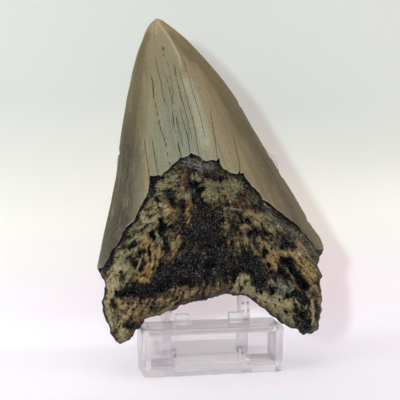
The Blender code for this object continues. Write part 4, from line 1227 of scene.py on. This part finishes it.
def make_clear_plastic():
    material, tree, shader = new_material("clear_plastic")
    place = node(tree, "ShaderNodeTexCoord").outputs["Object"]
    smears = noise_of(tree, place, (1, 1, 1), 4, 0.6, 120)
    tree.links.new(plus(tree, 0.05, scaled(tree, smears, 0.22)), shader.inputs["Roughness"])
    x, y, z = node(tree, "ShaderNodeSeparateXYZ", {0: place}).outputs
    # Painted shade: low down beside the recess the walls are tinted a darker rose, for the shadow seen
    # through them.
    beside = eased(tree, maths(tree, "ABSOLUTE", x, 0.0), 13.8 * MM, 14.6 * MM)
    low_down = scaled(tree, eased(tree, z, 7.0 * MM, 6.0 * MM), eased(tree, z, 3.4 * MM, 4.0 * MM))
    tone = mixed(tree, scaled(tree, beside, low_down), PLASTIC_SHADE, ROSY_PAINTED_SHADE)
    inside = scaled(tree, eased(tree, y, MARK_NEAR, MARK_NEAR + MARK_FADE),
                    eased(tree, y, MARK_FAR, MARK_FAR - MARK_FADE))
    for mark_x, mark_z, size in PLASTIC_MARKS:
        aside = minus(tree, x, mark_x * MM)
        apart = node(tree, "ShaderNodeCombineXYZ", {0: aside, 1: minus(tree, z, mark_z * MM)}).outputs[0]
        away = node(tree, "ShaderNodeVectorMath", {0: apart}, operation="LENGTH").outputs["Value"]
        spot = eased(tree, away, size * 1.25 * MM, size * 0.75 * MM)
        tone = tinted(tree, tone, spot, inside, MARK_SHADE)
    tree.links.new(tone, shader.inputs["Base Color"])
    shader.inputs["Transmission Weight"].default_value = 0.85
    shader.inputs["IOR"].default_value = 1.49
    # Light passes the plastic on its way to the floor, so its shadow is a pale one.
    passing = node(tree, "ShaderNodeBsdfTransparent", {"Color": colour(238, 236, 240)}).outputs[0]
    shadow = node(tree, "ShaderNodeLightPath").outputs["Is Shadow Ray"]
    mix = node(tree, "ShaderNodeMixShader", {0: shadow, 1: shader.outputs[0], 2: passing})
    tree.links.new(mix.outputs[0], tree.nodes["Material Output"].inputs["Surface"])
    return material


clear_plastic = make_clear_plastic()
clear_ledge.data.materials.append(clear_plastic)
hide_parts("stand_ledge")
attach(clear_ledge, "root")

# ---------------------------------------------------------------- the rest
# The stand's second moulding, of the same plastic: two arms with a leaning panel, a web, a foot and two
# snap prongs. It is carried over as it is.

clear_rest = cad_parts["stand_rest"]
clear_rest.data.materials.clear()
clear_rest.data.materials.append(clear_plastic)

# ---------------------------------------------------------------- the light tent
# A pale sheet that lies flat under the stand, then curves up close behind it and leans back. Its back is
# see-through, so that the tooth is seen from behind too, and a second sheet lies flat behind it.

SHEET_FRONT = -420 * MM
SHEET_BEND = 51 * MM
BEND_RADIUS = 10 * MM
SHEET_SLOPE = 420 * MM
SHEET_LEAN = math.radians(17)
SHEET_WIDTH = 1400 * MM
SHEET_DROP = -0.05 * MM
BACK_START = 34 * MM
BACK_DEPTH = 700 * MM
BACK_DROP = -0.30 * MM

bpy.ops.mesh.primitive_plane_add(size=1, location=(0, 0, 0))
sheet = bpy.context.active_object
sheet.name = sheet.data.name = "tent_sheet"
sheet.scale = (SHEET_WIDTH, SHEET_BEND - SHEET_FRONT, 1)
sheet.location = (0, (SHEET_BEND + SHEET_FRONT) / 2, SHEET_DROP)
bpy.ops.object.transform_apply(location=True, scale=True)

select_edges(sheet.data, lambda place: place.y > 0)
bpy.ops.object.mode_set(mode="EDIT")
bpy.ops.mesh.select_mode(type="EDGE")
rise = (0, SHEET_SLOPE * math.sin(SHEET_LEAN), SHEET_SLOPE * math.cos(SHEET_LEAN))
bpy.ops.mesh.extrude_region_move(TRANSFORM_OT_translate={"value": rise})
bpy.ops.object.mode_set(mode="OBJECT")
select_edges(sheet.data, lambda place: place.y > 0 and place.z < 1 * MM)
bpy.ops.object.mode_set(mode="EDIT")
bpy.ops.mesh.bevel(offset=BEND_RADIUS, segments=24, profile=0.5)
bpy.ops.object.mode_set(mode="OBJECT")
bpy.ops.object.shade_smooth()

bpy.ops.mesh.primitive_plane_add(size=1, location=(0, 0, 0))
back_sheet = bpy.context.active_object
back_sheet.name = back_sheet.data.name = "tent_back_sheet"
back_sheet.scale = (SHEET_WIDTH, BACK_DEPTH, 1)
back_sheet.location = (0, BACK_START + BACK_DEPTH / 2, BACK_DROP)
bpy.ops.object.transform_apply(location=True, scale=True)


# Shades of the cloth from the floor at 0 to CLOTH_TOP at 1.
CLOTH_TOP = 160 * MM
CLOTH_BANDS = [
    (0.00, colour(240, 238, 246)),
    (0.14, colour(243, 235, 236)),
    (0.30, colour(242, 238, 229)),
    (0.46, colour(226, 224, 216)),
    (0.62, colour(211, 213, 207)),
    (1.00, colour(210, 213, 208)),
]
BRIGHT_SHADE = colour(220, 221, 214)
ROSY_SHADE = colour(245, 233, 236)
FLOOR_SHADE = colour(241, 238, 244)
NEAR_SHADE = colour(222, 228, 240)
# The rosy disc's middle, the height its upper edge reaches there, and how sharply that edge arches down.
ROSY_MIDDLE, ROSY_TOP, ROSY_ARCH = 20 * MM, 44 * MM, 4.2


def make_tent_cloth():
    material, tree, shader = new_material("tent_cloth")
    place = node(tree, "ShaderNodeTexCoord").outputs["Object"]
    across, depth, height = node(tree, "ShaderNodeSeparateXYZ", {0: place}).outputs
    clouds = noise_of(tree, place, (1, 1, 1), 2, 0.5, 14)
    level = plus(tree, height, scaled(tree, minus(tree, clouds, 0.5), 0.02))
    shade = ramp(tree, maths(tree, "DIVIDE", level, CLOTH_TOP), CLOTH_BANDS)
    right = scaled(tree, eased(tree, across, 10 * MM, 110 * MM), 0.8)
    shade = tinted(tree, shade, right, eased(tree, height, 55 * MM, 90 * MM), BRIGHT_SHADE)
    # A faint rosy disc of painted light lies on the sheet's foot, with an arched upper edge.
    off_middle = minus(tree, across, ROSY_MIDDLE)
    arch = scaled(tree, scaled(tree, off_middle, off_middle), ROSY_ARCH)
    rosy = eased(tree, plus(tree, height, arch), ROSY_TOP, ROSY_TOP - 4 * MM)
    shade = tinted(tree, shade, rosy, 0.8, ROSY_SHADE)
    # The floor is pale, and cooler where it runs out in front of the stand.
    floor = eased(tree, height, 14 * MM, 0)
    shade = mixed(tree, floor, shade, FLOOR_SHADE)
    aside = maths(tree, "ABSOLUTE", plus(tree, across, 15 * MM), 0.0)
    near = scaled(tree, eased(tree, depth, -20 * MM, -75 * MM), eased(tree, aside, 75 * MM, 25 * MM))
    shade = tinted(tree, shade, near, floor, NEAR_SHADE)
    # The cloth glows a little itself: painted light, for the lamps outside the tent that would light it from
    # behind.
    tree.links.new(mixed(tree, 0.12, shade, colour(0, 0, 0)), shader.inputs["Base Color"])
    tree.links.new(shade, shader.inputs["Emission Color"])
    # It glows more on the floor, and in the lower right behind the tooth, where this painted light lifts the
    # tooth's shadow.
    shadow_lift = scaled(tree, eased(tree, across, 0, 70 * MM), eased(tree, height, 95 * MM, 55 * MM))
    glow = plus(tree, scaled(tree, maths(tree, "MAXIMUM", floor, shadow_lift), 0.09), 0.13)
    tree.links.new(glow, shader.inputs["Emission Strength"])
    shader.inputs["Roughness"].default_value = 0.9
    shader.inputs["Specular IOR Level"].default_value = 0.1
    behind = node(tree, "ShaderNodeNewGeometry").outputs["Backfacing"]
    through = node(tree, "ShaderNodeBsdfTransparent").outputs[0]
    mix = node(tree, "ShaderNodeMixShader", {0: behind, 1: shader.outputs[0], 2: through})
    tree.links.new(mix.outputs[0], tree.nodes["Material Output"].inputs["Surface"])
    return material


tent_cloth = make_tent_cloth()
for piece in (sheet, back_sheet):
    piece.data.materials.append(tent_cloth)

# ---------------------------------------------------------------- light and camera
# Three large softboxes light the tent from above and both sides. One small lamp in front, to the left,
# throws the tooth's soft shadow. The camera stands a little to the left, with a long lens.


def softbox(name, place, target, size, power, tint):
    light = bpy.data.lights.new(name, "AREA")
    light.shape = "RECTANGLE"
    light.size, light.size_y = size
    light.energy = power
    light.color = tint
    lamp = bpy.data.objects.new(name, light)
    bpy.context.scene.collection.objects.link(lamp)
    lamp.location = Vector(place) * MM
    away = Vector(target) * MM - lamp.location
    lamp.rotation_euler = away.to_track_quat("-Z", "Y").to_euler()


# Places in millimetres, sizes in metres, power in watts.
LAMP_AIM = (0, 5, 60)
WARM = (1.10, 0.97, 0.95)
softbox("key_lamp", (-206, -450, 170), LAMP_AIM, (0.030, 0.030), 1.16, (0.74, 1.0, 1.02))
softbox("top_softbox", (-60, -40, 430), LAMP_AIM, (0.40, 0.40), 0.80, WARM)
softbox("left_softbox", (-360, -160, 140), LAMP_AIM, (0.30, 0.30), 0.42, WARM)
softbox("right_softbox", (360, -160, 140), LAMP_AIM, (0.30, 0.30), 0.36, (1.10, 0.96, 0.95))

world = bpy.data.worlds.new("tent_air")
world.use_nodes = True
background = world.node_tree.nodes["Background"]
background.inputs["Color"].default_value = colour(244, 244, 248)
background.inputs["Strength"].default_value = 0.26
bpy.context.scene.world = world
bpy.context.scene.view_settings.view_transform = "Standard"

CAMERA_PLACE = (-77.65, -383.95, 99.38)
CAMERA_AIM = (-5.27, -8.45, 63.17)
CAMERA_LENS = 98.1
CAMERA_SENSOR = 36.0
CAMERA_NEAREST = 10 * MM
camera_data = bpy.data.cameras.new("camera")
camera_data.lens = CAMERA_LENS
camera_data.sensor_width = CAMERA_SENSOR
camera_data.clip_start = CAMERA_NEAREST
camera = bpy.data.objects.new("camera", camera_data)
bpy.context.scene.collection.objects.link(camera)
camera.location = Vector(CAMERA_PLACE) * MM
sight = Vector(CAMERA_AIM) * MM - camera.location
camera.rotation_euler = sight.to_track_quat("-Z", "Y").to_euler()
bpy.context.scene.camera = camera
